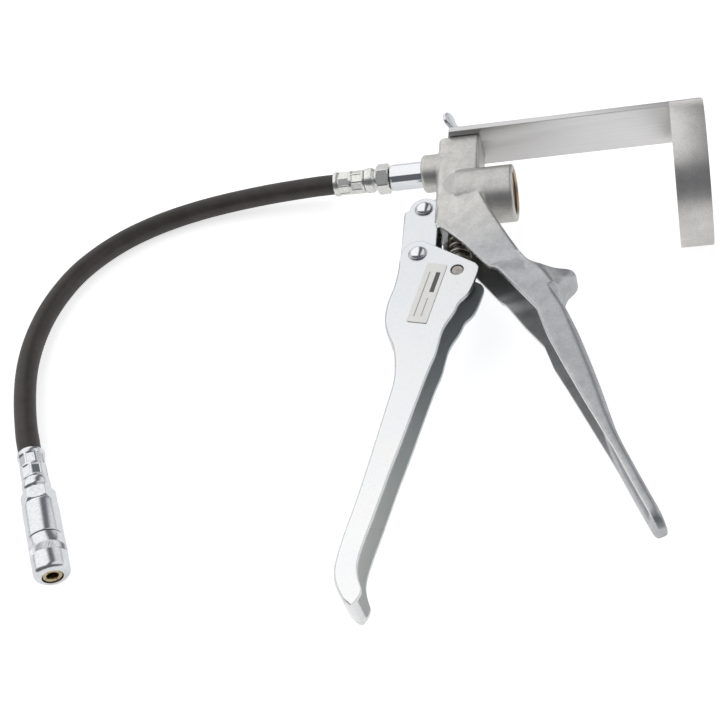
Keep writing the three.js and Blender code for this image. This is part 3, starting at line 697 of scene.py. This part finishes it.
def sweep(path, radius, sides=16):
    """Round bar along a path; the radius is a number, or a function of the share of the length."""
    p = np.array(path, float)
    tangent = np.gradient(p, axis=0)
    tangent /= np.linalg.norm(tangent, axis=1)[:, None]
    side = np.cross(tangent[0], (0.1, 0.3, 1.0))
    side /= np.linalg.norm(side)
    s = np.concatenate([[0], np.cumsum(np.linalg.norm(np.diff(p, axis=0), axis=1))])
    angle = np.arange(sides) * 2 * math.pi / sides
    verts = []
    for i in range(len(p)):
        side = side - tangent[i] * side.dot(tangent[i])
        side /= np.linalg.norm(side)
        other = np.cross(tangent[i], side)
        r = radius(s[i] / s[-1]) if callable(radius) else radius
        verts += [p[i] + r * (math.cos(a) * side + math.sin(a) * other) for a in angle]
    return stacked(verts, sides)


def helix(r, y0, y1, turns):
    """Coil line round the y axis; its first and last half turns lie flat."""
    flat, per_turn = 1, 40
    points = []
    for i in range(turns * per_turn + 1):
        turn = i / per_turn
        share = min(max((turn - flat / 2) / (turns - flat), 0), 1)
        angle = 2 * math.pi * turn
        points.append((r * math.cos(angle), y0 + (y1 - y0) * share, r * math.sin(angle)))
    return points


def evaluated(obj):
    """The object's mesh with its modifiers applied; the object itself goes."""
    graph = bpy.context.evaluated_depsgraph_get()
    mesh = bpy.data.meshes.new_from_object(obj.evaluated_get(graph))
    bpy.data.objects.remove(obj)
    return mesh


def temporary(mesh):
    """An object that carries the mesh while a modifier works on it."""
    obj = bpy.data.objects.new("temporary", mesh)
    bpy.context.scene.collection.objects.link(obj)
    return obj


def boolean(mesh, cutter, operation="DIFFERENCE", solver="EXACT"):
    a, b = temporary(mesh), temporary(cutter)
    mod = a.modifiers.new("cut", "BOOLEAN")
    mod.operation = operation
    mod.solver = solver
    mod.object = b
    bpy.context.view_layer.update()
    out = evaluated(a)
    bpy.data.objects.remove(b)
    return out


def bevelled(mesh, width, segments=2, angle=35):
    obj = temporary(mesh)
    mod = obj.modifiers.new("bevel", "BEVEL")
    mod.width = width
    mod.segments = segments
    mod.limit_method = "ANGLE"
    mod.angle_limit = math.radians(angle)
    mod.miter_outer = "MITER_ARC"
    bpy.context.view_layer.update()
    return evaluated(obj)


def bend_edges(mesh, chosen, radius):
    """Rounds the outline's edges on both faces of a prism, where chosen(co) holds for both ends."""
    bm = bmesh.new()
    bm.from_mesh(mesh)
    flat = [e for e in bm.edges if abs(e.verts[0].co.z - e.verts[1].co.z) < 0.01]
    edges = [e for e in flat if all(chosen(v.co) for v in e.verts)]
    bmesh.ops.bevel(bm, geom=edges, offset=radius, segments=5, profile=0.5, affect="EDGES")
    bm.to_mesh(mesh)
    bm.free()
    return mesh


def join(*meshes):
    bm = bmesh.new()
    for mesh in meshes:
        bm.from_mesh(mesh)
    out = bpy.data.meshes.new("shape")
    bm.to_mesh(out)
    bm.free()
    return out


def piece(name, mesh, place, material, body, node, sharp=32, plates=False):
    """A finished piece: placed, shaded and tied to its body; the CAD node it stands for is hidden.

    Edges over sharp degrees stay crisp; plates shades large flat faces evenly.
    """
    mesh = mesh.copy()
    mesh.name = name
    if place is not None:
        mesh.transform(place)
    mesh.shade_smooth()
    mesh.set_sharp_from_angle(angle=math.radians(sharp))
    mesh.materials.clear()
    mesh.materials.append(material)
    obj = bpy.data.objects.new(name, mesh)
    bpy.context.scene.collection.objects.link(obj)
    if plates:
        even = obj.modifiers.new("even", "WEIGHTED_NORMAL")
        even.keep_sharp = True
    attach(obj, body)
    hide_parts(node)
    return obj


# ---------- hose and its ends
def hose():
    """The hose, its centre line in metres and that line's length; it swells a little near its tip."""
    path = smooth_line(HOSE_ROUTE, 0.0015)
    swell, swell_at, swell_width = 0.03, 0.925, 0.022

    def radius(s):
        return HOSE_R / 1000 * (1 + swell * math.exp(-((s - swell_at) / swell_width) ** 2))

    obj = piece("grease_hose", sweep(path, radius, 40), None, RUBBER, "head", "hose")
    steps = np.linalg.norm(np.diff(np.array(path), axis=0), axis=1)
    return obj, path, float(steps.sum())


def hexagon(turn):
    """The nipple's hexagon, its corners turned off at both ends; turn is in radians."""
    corner = HEX_AF / math.sqrt(3)
    chamfer, slope, run = 1.1, 1.3, 1.4

    def radius(x, r, angle):
        flat = HEX_AF / 2 / np.cos((angle + turn + math.pi / 6) % (math.pi / 3) - math.pi / 6)
        return np.minimum(flat, corner - max(0.0, chamfer - min(x, HEX_L - x) * slope))

    xs = np.concatenate([np.linspace(0, run, 9), np.linspace(HEX_L - run, HEX_L, 9)])
    return lathe([(0, 0)] + [(x, corner) for x in xs] + [(HEX_L, 0)], 144, radius)


def nipple_shape(turn):
    """Hexagon, the bulged collar that the ferrule is pressed against, and the spigot behind."""
    end = HEX_L + NECK_L
    neck = [(HEX_L - 1, 0), (HEX_L - 1, 6.1), (HEX_L + 0.5, 6.1), (HEX_L + 1.1, 5.9),
            (HEX_L + 1.7, 6.3), (HEX_L + 2.6, 7), (end - 1.6, 7.15), (end - 0.2, 6.9),
            (end + 0.1, 6.2), (end + 0.2, 0)]
    spigot = [(-8, 0), (-8, 4.0), (1, 4.2), (1, 0)]
    return join(hexagon(math.radians(turn)), lathe(rounded(neck, 0.3, 4), 128),
                lathe(rounded(spigot, 0.4), 48))


def ferrule_shape():
    """Crimped sleeve: two rows of flats pressed in by the dies, a rolled lip at the hose's end."""
    x0 = HEX_L + NECK_L + GAP
    x1 = x0 + FERRULE_L
    rows = [(x0 + 0.9, x0 + 7.6, 0.0), (x0 + 8.5, x0 + 15.2, 0.35)]  # start, end, turn in sectors
    sector = math.pi / 4
    flat_r, ridge, run = 6.12, 0.45, 0.7

    def radius(x, r, angle):
        out = np.full(len(angle), r)
        if r < 6:
            return out
        for start, end, turn in rows:
            depth = min(max((x - start) / run, 0), 1) * min(max((end - x) / run, 0), 1)
            across = np.abs((angle + turn * sector) % sector - sector / 2) / (sector / 2)
            pressed = flat_r / np.cos(across * sector / 2) + ridge * np.clip((across - 0.78) / 0.12, 0, 1)
            out = np.minimum(out, r + (np.minimum(pressed, r) - r) * depth)
        return out

    def skin(x):
        return FERRULE_R + 0.1 + 0.3 * math.exp(-((x - x1 + 1.3) / 1.1) ** 2)

    profile = [(x0 + 1.9, 3.2), (x0, 3.2), (x0, FERRULE_R - 0.35), (x0 + 0.3, FERRULE_R)]
    profile += [(x, skin(x)) for x in np.arange(x0 + 0.6, x1 - 0.4, 0.22)]
    profile += [(x1 - 0.1, FERRULE_R + 0.2), (x1, FERRULE_R), (x1, 5.95), (x0 + 1.9, 5.95)]
    return lathe(profile, 240, radius)


# ---------- coupler
def coupler_body_shape():
    """Plain body with a bored middle; its spigot carries the sleeve."""
    r, face = COUPLER_R, BODY_L + GAP
    profile = [(GAP, 4.6), (GAP, r - 1.3), (1.3, r - 0.15), (1.9, r), (BODY_L, r), (face, r - 0.25),
               (face, 5.9), (face + 7, 5.9), (face + 7, 4),
               (BODY_L - 3.7, 4), (BODY_L - 5.7, 1.8), (10.8, 1.8), (9.3, 4.6)]
    return lathe(rounded(profile, 0.25), 128)


def sleeve_shape():
    """Outer sleeve: a knurled band, then a nose that closes in round the jaws."""
    r, x0, x1 = COUPLER_R, BODY_L + 0.7, BODY_L + SLEEVE_L + GAP
    knurl0, knurl1 = x0 + 6.1, x0 + 10.5
    teeth, depth, run = 84, 0.26, 0.4

    def radius(x, rr, angle):
        if rr < r - 0.2 or not knurl0 - 0.3 < x < knurl1 + 0.3:
            return np.full(len(angle), rr)
        fade = min(1, max(0, (x - knurl0) / run)) * min(1, max(0, (knurl1 - x) / run))
        return rr - depth * fade * (0.5 - 0.5 * np.cos(angle * teeth))

    band = [(x, r + 0.1) for x in np.linspace(knurl0, knurl1, 14)]
    outer = [(x0, r - 0.25), (x0 + 0.25, r), (knurl0 - 0.3, r)] + band
    outer += [(knurl1 + 0.3, r), (x1 - 2.9, r), (x1 - 2.2, r - 0.12), (x1 - 1.5, r - 0.45),
              (x1 - 0.9, r - 0.95), (x1 - 0.5, r - 1.6), (x1, r - 3.2)]
    inner = [(x1, 5.2), (x1 - 1, 5.2), (x1 - 5, 6.2), (x0, 6.2)]
    return lathe(outer + inner, teeth * 5, radius)


def jaw_shape(index):
    """One quarter of the collet, seen as a narrow ring in the nose."""
    x0, x1 = BODY_L + 12.3, BODY_L + SLEEVE_L + GAP
    profile = [(x0, 3.9), (x0, 5.6), (x1 - 6, 5.6), (x1 - 1.4, 4.8), (x1 - 0.5, 4.6),
               (x1 - 0.5, 3), (x1 - 1.4, 2.8), (x1 - 4, 2.8), (x1 - 5, 3.9)]
    slit, far = 0.16, 20
    quarter = ((slit, slit), (far, slit), (far, far), (slit, far))
    wedge = stacked([(x, y, z) for x in (x0 - 1, x1 + 1) for y, z in quarter], 4)
    jaw = boolean(lathe(rounded(profile, 0.2, 2), 96), wedge, "INTERSECT")
    jaw.transform(Matrix.Rotation(math.radians(360 / JAWS * index + 20), 4, "X"))
    return jaw


# ---------- head casting
# Share of the back corners' radius that is left at each height y: heights, then shares.
CORNER_SHARE = ((-110, -92, -85, -82, -58, -54, 0), (1, 0.7, 0.4, 0.05, 0.05, 0.45, 0.45))
# Handle stations: x, y of the open edge, x, y of the back edge, half width at each.
HANDLE = [
    (-8, -8, 12.6, -3, 10.2, 13),
    (-8.9, -26.8, 19.6, -20, 12, 13.4),
    (7, -45.2, 28.3, -38.5, 13, 13.6),
    (20.4, -63.2, 36.6, -55, 14.2, 14.2),
    (22.6, -65.2, 39.2, -60.2, 16, 14.5),
    (25.4, -67.2, 42.4, -66.6, 16.3, 14.9),
    (29, -72.4, 45.3, -71, 16.8, 16.9),
    (35, -81.5, 51, -81, 17.8, 17.6),
    (45.1, -95.6, 59.3, -95.6, 17.6, 17.4),
    (50.1, -111.8, 65.4, -111.1, 15.6, 15.5),
    (57.5, -128.5, 70.5, -127, 13, 13),
    (66, -147.5, 75.9, -146, 11.7, 11.7),
    (75.9, -169.2, 81.2, -167.5, 11.1, 11.1),
    (79.7, -177.6, 84.4, -176.2, 11, 11),
    (87, -195.5, 91.6, -194, 10.8, 10.8),
    (93.4, -210.6, 97.9, -209, 10.4, 10.4),
    (94.7, -213.6, 99.3, -212, 9.2, 9.2),
    (95.9, -216, 100.4, -214.3, 7, 7),
    (96.8, -217.6, 101, -216, 3.6, 3.6),
]
# How far each column of the stations is blurred along the handle, mm.
STATION_BLUR = (0.5, 0.5, 3.2, 3.2, 1.2, 1.2)


def softened(rows):
    """Fine stations between the given ones: the open edge stays crisp, the rest runs smoothly."""
    spacing, reach = 0.8, 12
    rows = np.array(rows, float)
    s = np.concatenate([[0], np.cumsum(np.linalg.norm(np.diff(rows[:, 2:4], axis=0), axis=1))])
    fine = np.linspace(0, s[-1], round(s[-1] / spacing))
    out = np.stack([np.interp(fine, s, rows[:, k]) for k in range(6)], 1)
    for k, blur in enumerate(STATION_BLUR):
        v = out[:, k]
        ends = np.concatenate([2 * v[0] - v[reach:0:-1], v, 2 * v[-1] - v[-2:-reach - 2:-1]])
        kernel = np.exp(-0.5 * (np.arange(-reach, reach + 1) * spacing / blur) ** 2)
        out[:, k] = np.convolve(ends, kernel / kernel.sum(), "valid")
    return out


def loft(rows, corner):
    """Solid whose section follows the stations, its two back corners rounded."""
    verts = []
    turn = [math.radians(a) for a in (90, 72, 54, 36, 18, 0)]
    for lx, ly, rx, ry, front, back in rows:
        left = Vector((lx, ly))
        across = Vector((rx, ry)) - left
        w = across.length
        across.normalize()
        r = min(corner * float(np.interp(ry, *CORNER_SHARE)), 0.42 * w, 0.8 * back)
        section = [(0, front)] + [(w - r + r * math.cos(a), back - r + r * math.sin(a)) for a in turn]
        section += [(a, -z) for a, z in section[::-1]]
        verts += [(left.x + across.x * a, left.y + across.y * a, z) for a, z in section]
    return stacked(verts, 2 * len(turn) + 2)


def handle_cavity():
    """The handle's channel: the stations drawn in by its walls and back, and out at its open side."""
    rows = [(-14, -24.4, 17.4, -24, 9.7, 11), (-13, -33, 20.4, -32, 10.3, 11)]
    out = 3
    for lx, ly, rx, ry, front, back in HANDLE[2:16]:
        d = Vector((rx - lx, ry - ly)).normalized()
        rows.append((lx - d.x * out, ly - d.y * out, rx - d.x * SPINE, ry - d.y * SPINE,
                     front - WALL, back - WALL))
    return loft(softened(rows), 2.2)


def finger_rest():
    """Horn on the handle's back: its side outline, cut by a plan that leans back as it goes down."""
    outline = [(35.5, -54), (38.2, -58.6), (41.6, -62.4), (45.5, -64.6), (50, -65.6), (55, -65.5),
               (60.5, -65.4), (63, -66.1), (64, -67.5), (61.8, -69.4), (58.8, -71.5), (56.8, -75),
               (55.6, -80)]
    side = prism(smooth_line(outline, 1) + [(46, -84)], -18, 18)
    flank = [(33, 14.6), (40, 14.8), (43.5, 14.9), (47, 14), (50, 12.4), (54, 10.4), (59, 8.9)]
    plan = smooth_line(flank, 1) + arc(58.4, 3, 5.8, 75, 0, 10)
    plan += [(x, -z) for x, z in plan[::-1]]
    lean, level, tip_x, root_l, deep = 0.59, -64, 58, 14, 7
    verts = []
    # The lean is full at the root and fades out towards tip_x; below deep the sides swell less.
    for y in np.linspace(-50, -84.5, 30):
        for x, z in plan:
            depth = min(max((tip_x - x) / root_l, 0), 1) * (level - y)
            swell = 1 + 0.02 * min(max(depth, 0), deep) + 0.004 * max(depth - deep, 0)
            verts.append((x + lean * depth, y, z * swell))
    return boolean(side, stacked(verts, len(plan)), "INTERSECT")


def rounded_column():
    """The head's upright, rounder at the outlet's side than at the port's."""
    x0, x1, half = COLUMN["x0"], COLUMN["x1"], COLUMN["half"]
    soft, crisp = 3.4, 1.7
    plan = arc(x1 - crisp, half - crisp, crisp, 0, 90, 15)
    plan += arc(x0 + soft, half - soft, soft, 90, 180, 15)
    plan += arc(x0 + soft, soft - half, soft, 180, 270, 15)
    plan += arc(x1 - crisp, crisp - half, crisp, 270, 360, 15)
    column = prism(plan, COLUMN["y0"], COLUMN["y1"])
    column.transform(SWAP_YZ)
    return column


def port_thread():
    """Cutter of the threaded port: a helical groove, and a lead-in at the mouth."""
    x0, r0, mouth = PORT_BORE_X, PORT_BORE_R, 31
    depth = 0.9

    def radius(x, r, angle):
        turn = (x / THREAD_PITCH - angle / (2 * math.pi)) % 1
        return r + depth * np.abs(turn - 0.5) * (1 if x0 + 1.5 < x < mouth - 0.5 else 0)

    wall = [(x, r0) for x in np.arange(x0, mouth - 0.3, 0.25)]
    profile = [(x0, 0)] + wall + [(mouth, r0), (mouth + 0.9, r0 + 0.7), (34, r0 + 0.7), (34, 0)]
    return lathe(profile, 96, radius)


def skinned(mesh):
    """One skin over joined parts, with small fillets where they meet."""
    obj = temporary(mesh)
    remesh = obj.modifiers.new("skin", "REMESH")
    remesh.mode = "VOXEL"
    remesh.voxel_size = 0.45
    soften = obj.modifiers.new("soften", "SMOOTH")
    soften.factor = 0.5
    soften.iterations = 9
    bpy.context.view_layer.update()
    return evaluated(obj)


def machined_cuts():
    """Cutters of the casting's openings, in the order of cutting."""
    cuts = [
        handle_cavity(),
        port_thread(),
        cylinder(3.5, BORE_X, 10),  # from the pump bore into the port
        moved(cylinder(BORE_R, -32, 26.5, "y"), BORE_X),
        moved(cylinder(7, -20.4, -17.6, "y"), BORE_X),  # plunger seal's seat
        moved(cylinder(3.3, 28.8, 40, "y", 32), BAR["screw"]),
        moved(cylinder(3.15, -8, 8, "z", 32), *UPPER_PIVOT),
    ]
    for r, x0, x1 in ((2.5, -9, BORE_X), (4.2, -13.4, -8), (6, -24, -13)):  # outlet valve
        cuts.append(moved(cylinder(r, x0, x1), y=OUTLET_Y))
    return cuts


def casting_shape():
    """Cast body with soft fillets, then its machined bores and the open channel of the handle."""
    collar = [(COLLAR_X, 0), (COLLAR_X, COLLAR_R - 1.2), (COLLAR_X + 1.2, COLLAR_R), (-4, COLLAR_R), (-4, 0)]
    boss = [(0.4, 0), (0.4, PORT_R), (PORT_X - 0.8, PORT_R), (PORT_X, PORT_R - 0.8), (PORT_X, 0)]
    link_room = [(-15, -40), (-8.3, -40), (-8.3, -3), (-10, -1.6), (-15, -1.6)]
    lug = [(-4, -1.2), (-12, -3)] + arc(*UPPER_PIVOT, 7.4, 62, 250, 8) + [(-4, -24)]
    handle = loft(softened(HANDLE), 3.4)
    body = rounded_column()
    for part in (moved(lathe(collar), y=OUTLET_Y), lathe(boss, 128), handle, finger_rest()):
        body = boolean(body, part, "UNION", "MANIFOLD")
    body = boolean(body, prism(link_room, -8.4, 8.4), solver="MANIFOLD")
    body = skinned(boolean(body, prism(lug, -5, 5), "UNION", "MANIFOLD"))
    for cut in machined_cuts():
        body = boolean(body, cut, solver="MANIFOLD")
    return body


# ---------- lever and link
LEVER_LEFT = [
    (-28.6, -51.2), (-29.2, -58), (-30.6, -67), (-32.8, -75), (-33.9, -83), (-33.7, -90.5),
    (-32, -97.4), (-29.2, -104.4), (-27.6, -111), (-26.9, -118), (-26.7, -125), (-27.7, -133.2),
    (-29.5, -142.1), (-33.8, -163.6), (-37.1, -180), (-41.3, -199), (-45.4, -215.8),
    (-47.4, -226.5), (-47.9, -232.5), (-47.1, -238), (-44.6, -244), (-41.4, -249.2), (-38.9, -251),
]
LEVER_RIGHT = [
    (-36.8, -250.6), (-34.9, -247.8), (-33.6, -244), (-35.3, -238.6), (-36.6, -233), (-36.3, -227.5),
    (-34.6, -219.4), (-31.4, -207.5), (-28, -194.4), (-24.4, -180.2), (-20, -164.6), (-13.9, -141.4),
    (-9, -123.4), (-5.9, -113.6), (-4.2, -104.4), (-2.6, -97.6), (2.8, -87), (4.6, -82),
    (9.4, -76.2), (14, -62.2), (14.4, -59.4), (12.6, -56.3),
]


def widen(mesh):
    """The channel widens evenly from the pivots to the tip."""
    rate = (LEVER_TIP_HALF / LEVER_HALF - 1) / LEVER_REACH
    for v in mesh.vertices:
        v.co.z *= 1 + rate * (LOWER_PIVOT[1] - v.co.y)
    return mesh


def closing_marks(half):
    """Cutter of the ring that the closing tool leaves round a rivet, on both faces."""
    ring = [(half - 0.3, 4.6), (half - 0.3, 4.9), (half + 0.5, 5.3), (half + 0.5, 4.4)]
    return join(lathe(ring, 64, axis="z"), lathe([(-z, r) for z, r in ring], 64, axis="z"))


def lever_shape():
    """Folded sheet: two plates and the fold along their left edge, open to the right."""
    left = smooth_line(LEVER_LEFT, 2)
    right = smooth_line(LEVER_RIGHT, 2)
    cx, cy = LOWER_PIVOT
    ear = [(cx + 2.6, cy + 8.7)] + arc(cx, cy, 9, 73, 180, 8)
    outer = prism(left + right + ear, -LEVER_HALF, LEVER_HALF)
    fold = np.array(left)
    outer = bend_edges(outer, lambda v: np.hypot(*(fold - v[:2]).T).min() < 0.02, 2.6)
    # The inside follows the fold a sheet's thickness in, and a little more in the curled tip.
    inner = [(-60, 20), (-60, -53), (LEVER_LEFT[0][0] + SHEET, -53)]
    inner += [(x + SHEET + (0.4 if y < -225 else 0), y + (1.6 if y < -240 else 0)) for x, y in left[2:-4]]
    inner += [(-38.6, -248.6), (-30, -247.4), (60, -220), (60, 20)]
    z = LEVER_HALF - SHEET
    mesh = boolean(outer, prism(inner, -z, z))
    for (x, y), r in ((LOWER_PIVOT, PIVOT_HOLE_R), (PIN, PIN_HOLE_R)):
        mesh = boolean(mesh, moved(cylinder(r, -20, 20, "z", 48), x, y))
    return widen(boolean(bevelled(mesh, 0.3), moved(closing_marks(LEVER_HALF), *LOWER_PIVOT)))


def link_shape():
    """Folded sheet round both pivots: two plates and the fold along their left edge."""
    cx, cy = UPPER_PIVOT
    dx, dy = LOWER_PIVOT
    points = [(-28.2, -15.4), (-28.2, -46)] + arc(dx, dy, 9.9, 180, 270) + arc(dx, dy, 8.9, 270, 360)
    points += [(cx + 8, cy)] + arc(cx, cy, 8, 0, 180)[1:] + [(-27.2, -13)]
    body = prism(points, -LINK_HALF, LINK_HALF)
    body = bend_edges(body, lambda v: v.x < -28.1 and v.y < -15, 2.2)
    z = LINK_HALF - SHEET
    body = boolean(body, prism([(-26.2, -80), (20, -80), (20, 20), (-26.2, 20)], -z, z))
    for x, y in (UPPER_PIVOT, LOWER_PIVOT):
        body = boolean(body, moved(cylinder(PIVOT_HOLE_R, -20, 20, "z", 48), x, y))
    return boolean(bevelled(body, 0.3), moved(closing_marks(LINK_HALF), *UPPER_PIVOT))


def rivet_shape(half):
    """A full round dome at each end."""
    height, r = 2.75, 4.45
    dome = [(-half - height, 0)]
    for a in range(8, 91, 6):
        a = math.radians(a)
        dome.append((-half - height * math.cos(a), r * math.sin(a) ** 0.92))
    dome.append((-half, 2.9))
    return lathe(dome + [(-z, r) for z, r in dome[::-1]], axis="z")


# ---------- bracket
def bar_shape():
    """Flat bar with a bowed end by the head and a hole for the wing screw."""
    x0, x1, half, bow = BAR["x0"], BAR["x1"], BAR["half"], 2.2
    end = [(x0 + bow - 4 * bow * s * (1 - s), half - 2 * half * s) for s in np.linspace(0, 1, 15)]
    bar = prism([(x, -z) for x, z in end] + [(x1, half), (x1, -half)], BAR["y0"], BAR["y0"] + BAR["t"])
    bar.transform(SWAP_YZ)
    bar = boolean(bar, moved(cylinder(3.4, 30, 50, "y", 48), BAR["screw"]))
    return bevelled(bar, 0.35, 3)


def ring_shape():
    """Rolled strip, closed all the way round."""
    r, t = RING["r"], RING["t"]
    profile = [(RING["x0"], r - t), (RING["x0"], r), (RING["x1"], r), (RING["x1"], r - t)]
    return lathe(rounded(profile, 0.4), 240)


def ring_rivet_shape():
    """Rivet through ring and bar: a low head inside the ring, a closed one on the bar."""
    inside, top = RING["r"] - RING["t"], BAR["y0"] + BAR["t"] + 0.2
    profile = [(inside - 1.5, 0), (inside - 1.3, 2.4), (inside - 0.4, 3.4), (inside - 0.35, 2.1),
               (top, 2.1), (top, 3.9), (top + 0.9, 3.5), (top + 1.6, 2), (top + 1.8, 0)]
    return lathe(rounded(profile, 0.3), 48, axis="y")


def wing_screw_shape():
    """Stud, hub and two wings, turned to where it was last tightened."""
    seat = BAR["y0"] + BAR["t"] + 1.8
    top = seat + 7
    hub = [(29.4, 0), (29.4, 2.9), (seat, 2.9), (seat, 5.6), (top - 1.4, 5.2), (top, 4.2), (top, 0)]
    lobe = [(2, seat + 1), (8.4, seat + 2.4)] + arc(12.2, seat + 7.6, 4.7, -70, 125, 12)
    lobe += [(7, seat + 8), (2, seat + 6.2)]
    wing = bevelled(prism(lobe, -1.3, 1.3), 0.7, 4, 50)
    other = wing.copy()
    other.transform(Matrix.Rotation(math.pi, 4, "Y"))
    shape = join(lathe(rounded(hub, 0.5, 4), 64, axis="y"), wing, other)
    shape.transform(Matrix.Rotation(math.radians(-120), 4, "Y"))
    return moved(shape, BAR["screw"])


# ---------- assembly
hose_obj, hose_path, hose_length = hose()

ferrule_mesh = ferrule_shape()
piece("hose_end_head", nipple_shape(9), HEAD_END, END_ZINC, "head", "hose_nipple_head", sharp=25)
piece("ferrule_at_head", ferrule_mesh, HEAD_END, END_ZINC, "head", "ferrule_head", sharp=25)
on_hose = [
    piece("hose_end_tip", nipple_shape(24), TIP_END, TIP_ZINC, "head", "hose_nipple_tip", sharp=25),
    piece("ferrule_at_tip", ferrule_mesh, TIP_END, TIP_ZINC, "head", "ferrule_tip", sharp=25),
    piece("coupler_rear", coupler_body_shape(), TIP, TIP_ZINC, "head", "coupler_body"),
    piece("coupler_front", sleeve_shape(), TIP, TIP_ZINC, "head", "coupler_sleeve"),
]
for i in range(JAWS):
    on_hose.append(piece(f"jaw_{i + 1}", jaw_shape(i), TIP, BRASS, "head", f"coupler_jaw_{i + 1}"))
on_hose += [NODES[n] for n in ("coupler_seal", "coupler_ball", "coupler_spring")]

piece("casting", casting_shape(), GUN, CAST, "head", "head_casting", sharp=50, plates=True)
piece("squeeze_lever", lever_shape(), GUN, ZINC, "lever", "lever", plates=True)
piece("swing_link_plate", link_shape(), GUN, ZINC, "swing_link", "link", plates=True)
upper_rivet = moved(rivet_shape(LINK_HALF + RIVET_GAP), *UPPER_PIVOT)
lower_rivet = moved(rivet_shape(LEVER_HALF + RIVET_GAP), *LOWER_PIVOT)
piece("upper_rivet", upper_rivet, GUN, CHROME, "head", "link_rivet_upper")
piece("lower_rivet", lower_rivet, GUN, CHROME, "lever", "link_rivet_lower")
piece("bracket_strip", bar_shape(), GUN, ALU, "bracket", "bracket_bar")
piece("bracket_hoop", ring_shape(), GUN, RING_ALU, "bracket", "bracket_ring")
middle = (RING["x0"] + RING["x1"]) / 2
for i, x in enumerate((middle - 4.4, middle + 4.4)):
    piece(f"hoop_rivet_{i + 1}", moved(ring_rivet_shape(), x), GUN, ALU, "bracket", f"ring_rivet_{i + 1}")
piece("thumb_screw", wing_screw_shape(), GUN, ZINC, "wing", "wing_screw")

coil_line = helix(SPRING_R, SPRING_TOP - SPRING_WIRE, SPRING_FOOT + SPRING_WIRE, SPRING_TURNS)
coil = moved(sweep(coil_line, SPRING_WIRE), BORE_X)
spring = piece("pump_spring", coil, GUN, SPRING, "plunger", "return_spring")
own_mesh(spring)

for names, material in (
    (("outlet_tube", "check_ball", "coupler_ball"), CHROME),
    (("plunger",), STEEL),
    (("lever_pin",), PIN_END),
    (("spring_washer", "wing_washer"), ZINC),
    (("plunger_seal", "coupler_seal"), SEAL),
    (("port_gasket",), FIBRE),
    (("check_spring", "coupler_spring"), SPRING),
    (("label_plate",), LABEL),
):
    for name in names:
        NODES[name].data.materials.clear()
        NODES[name].data.materials.append(material)
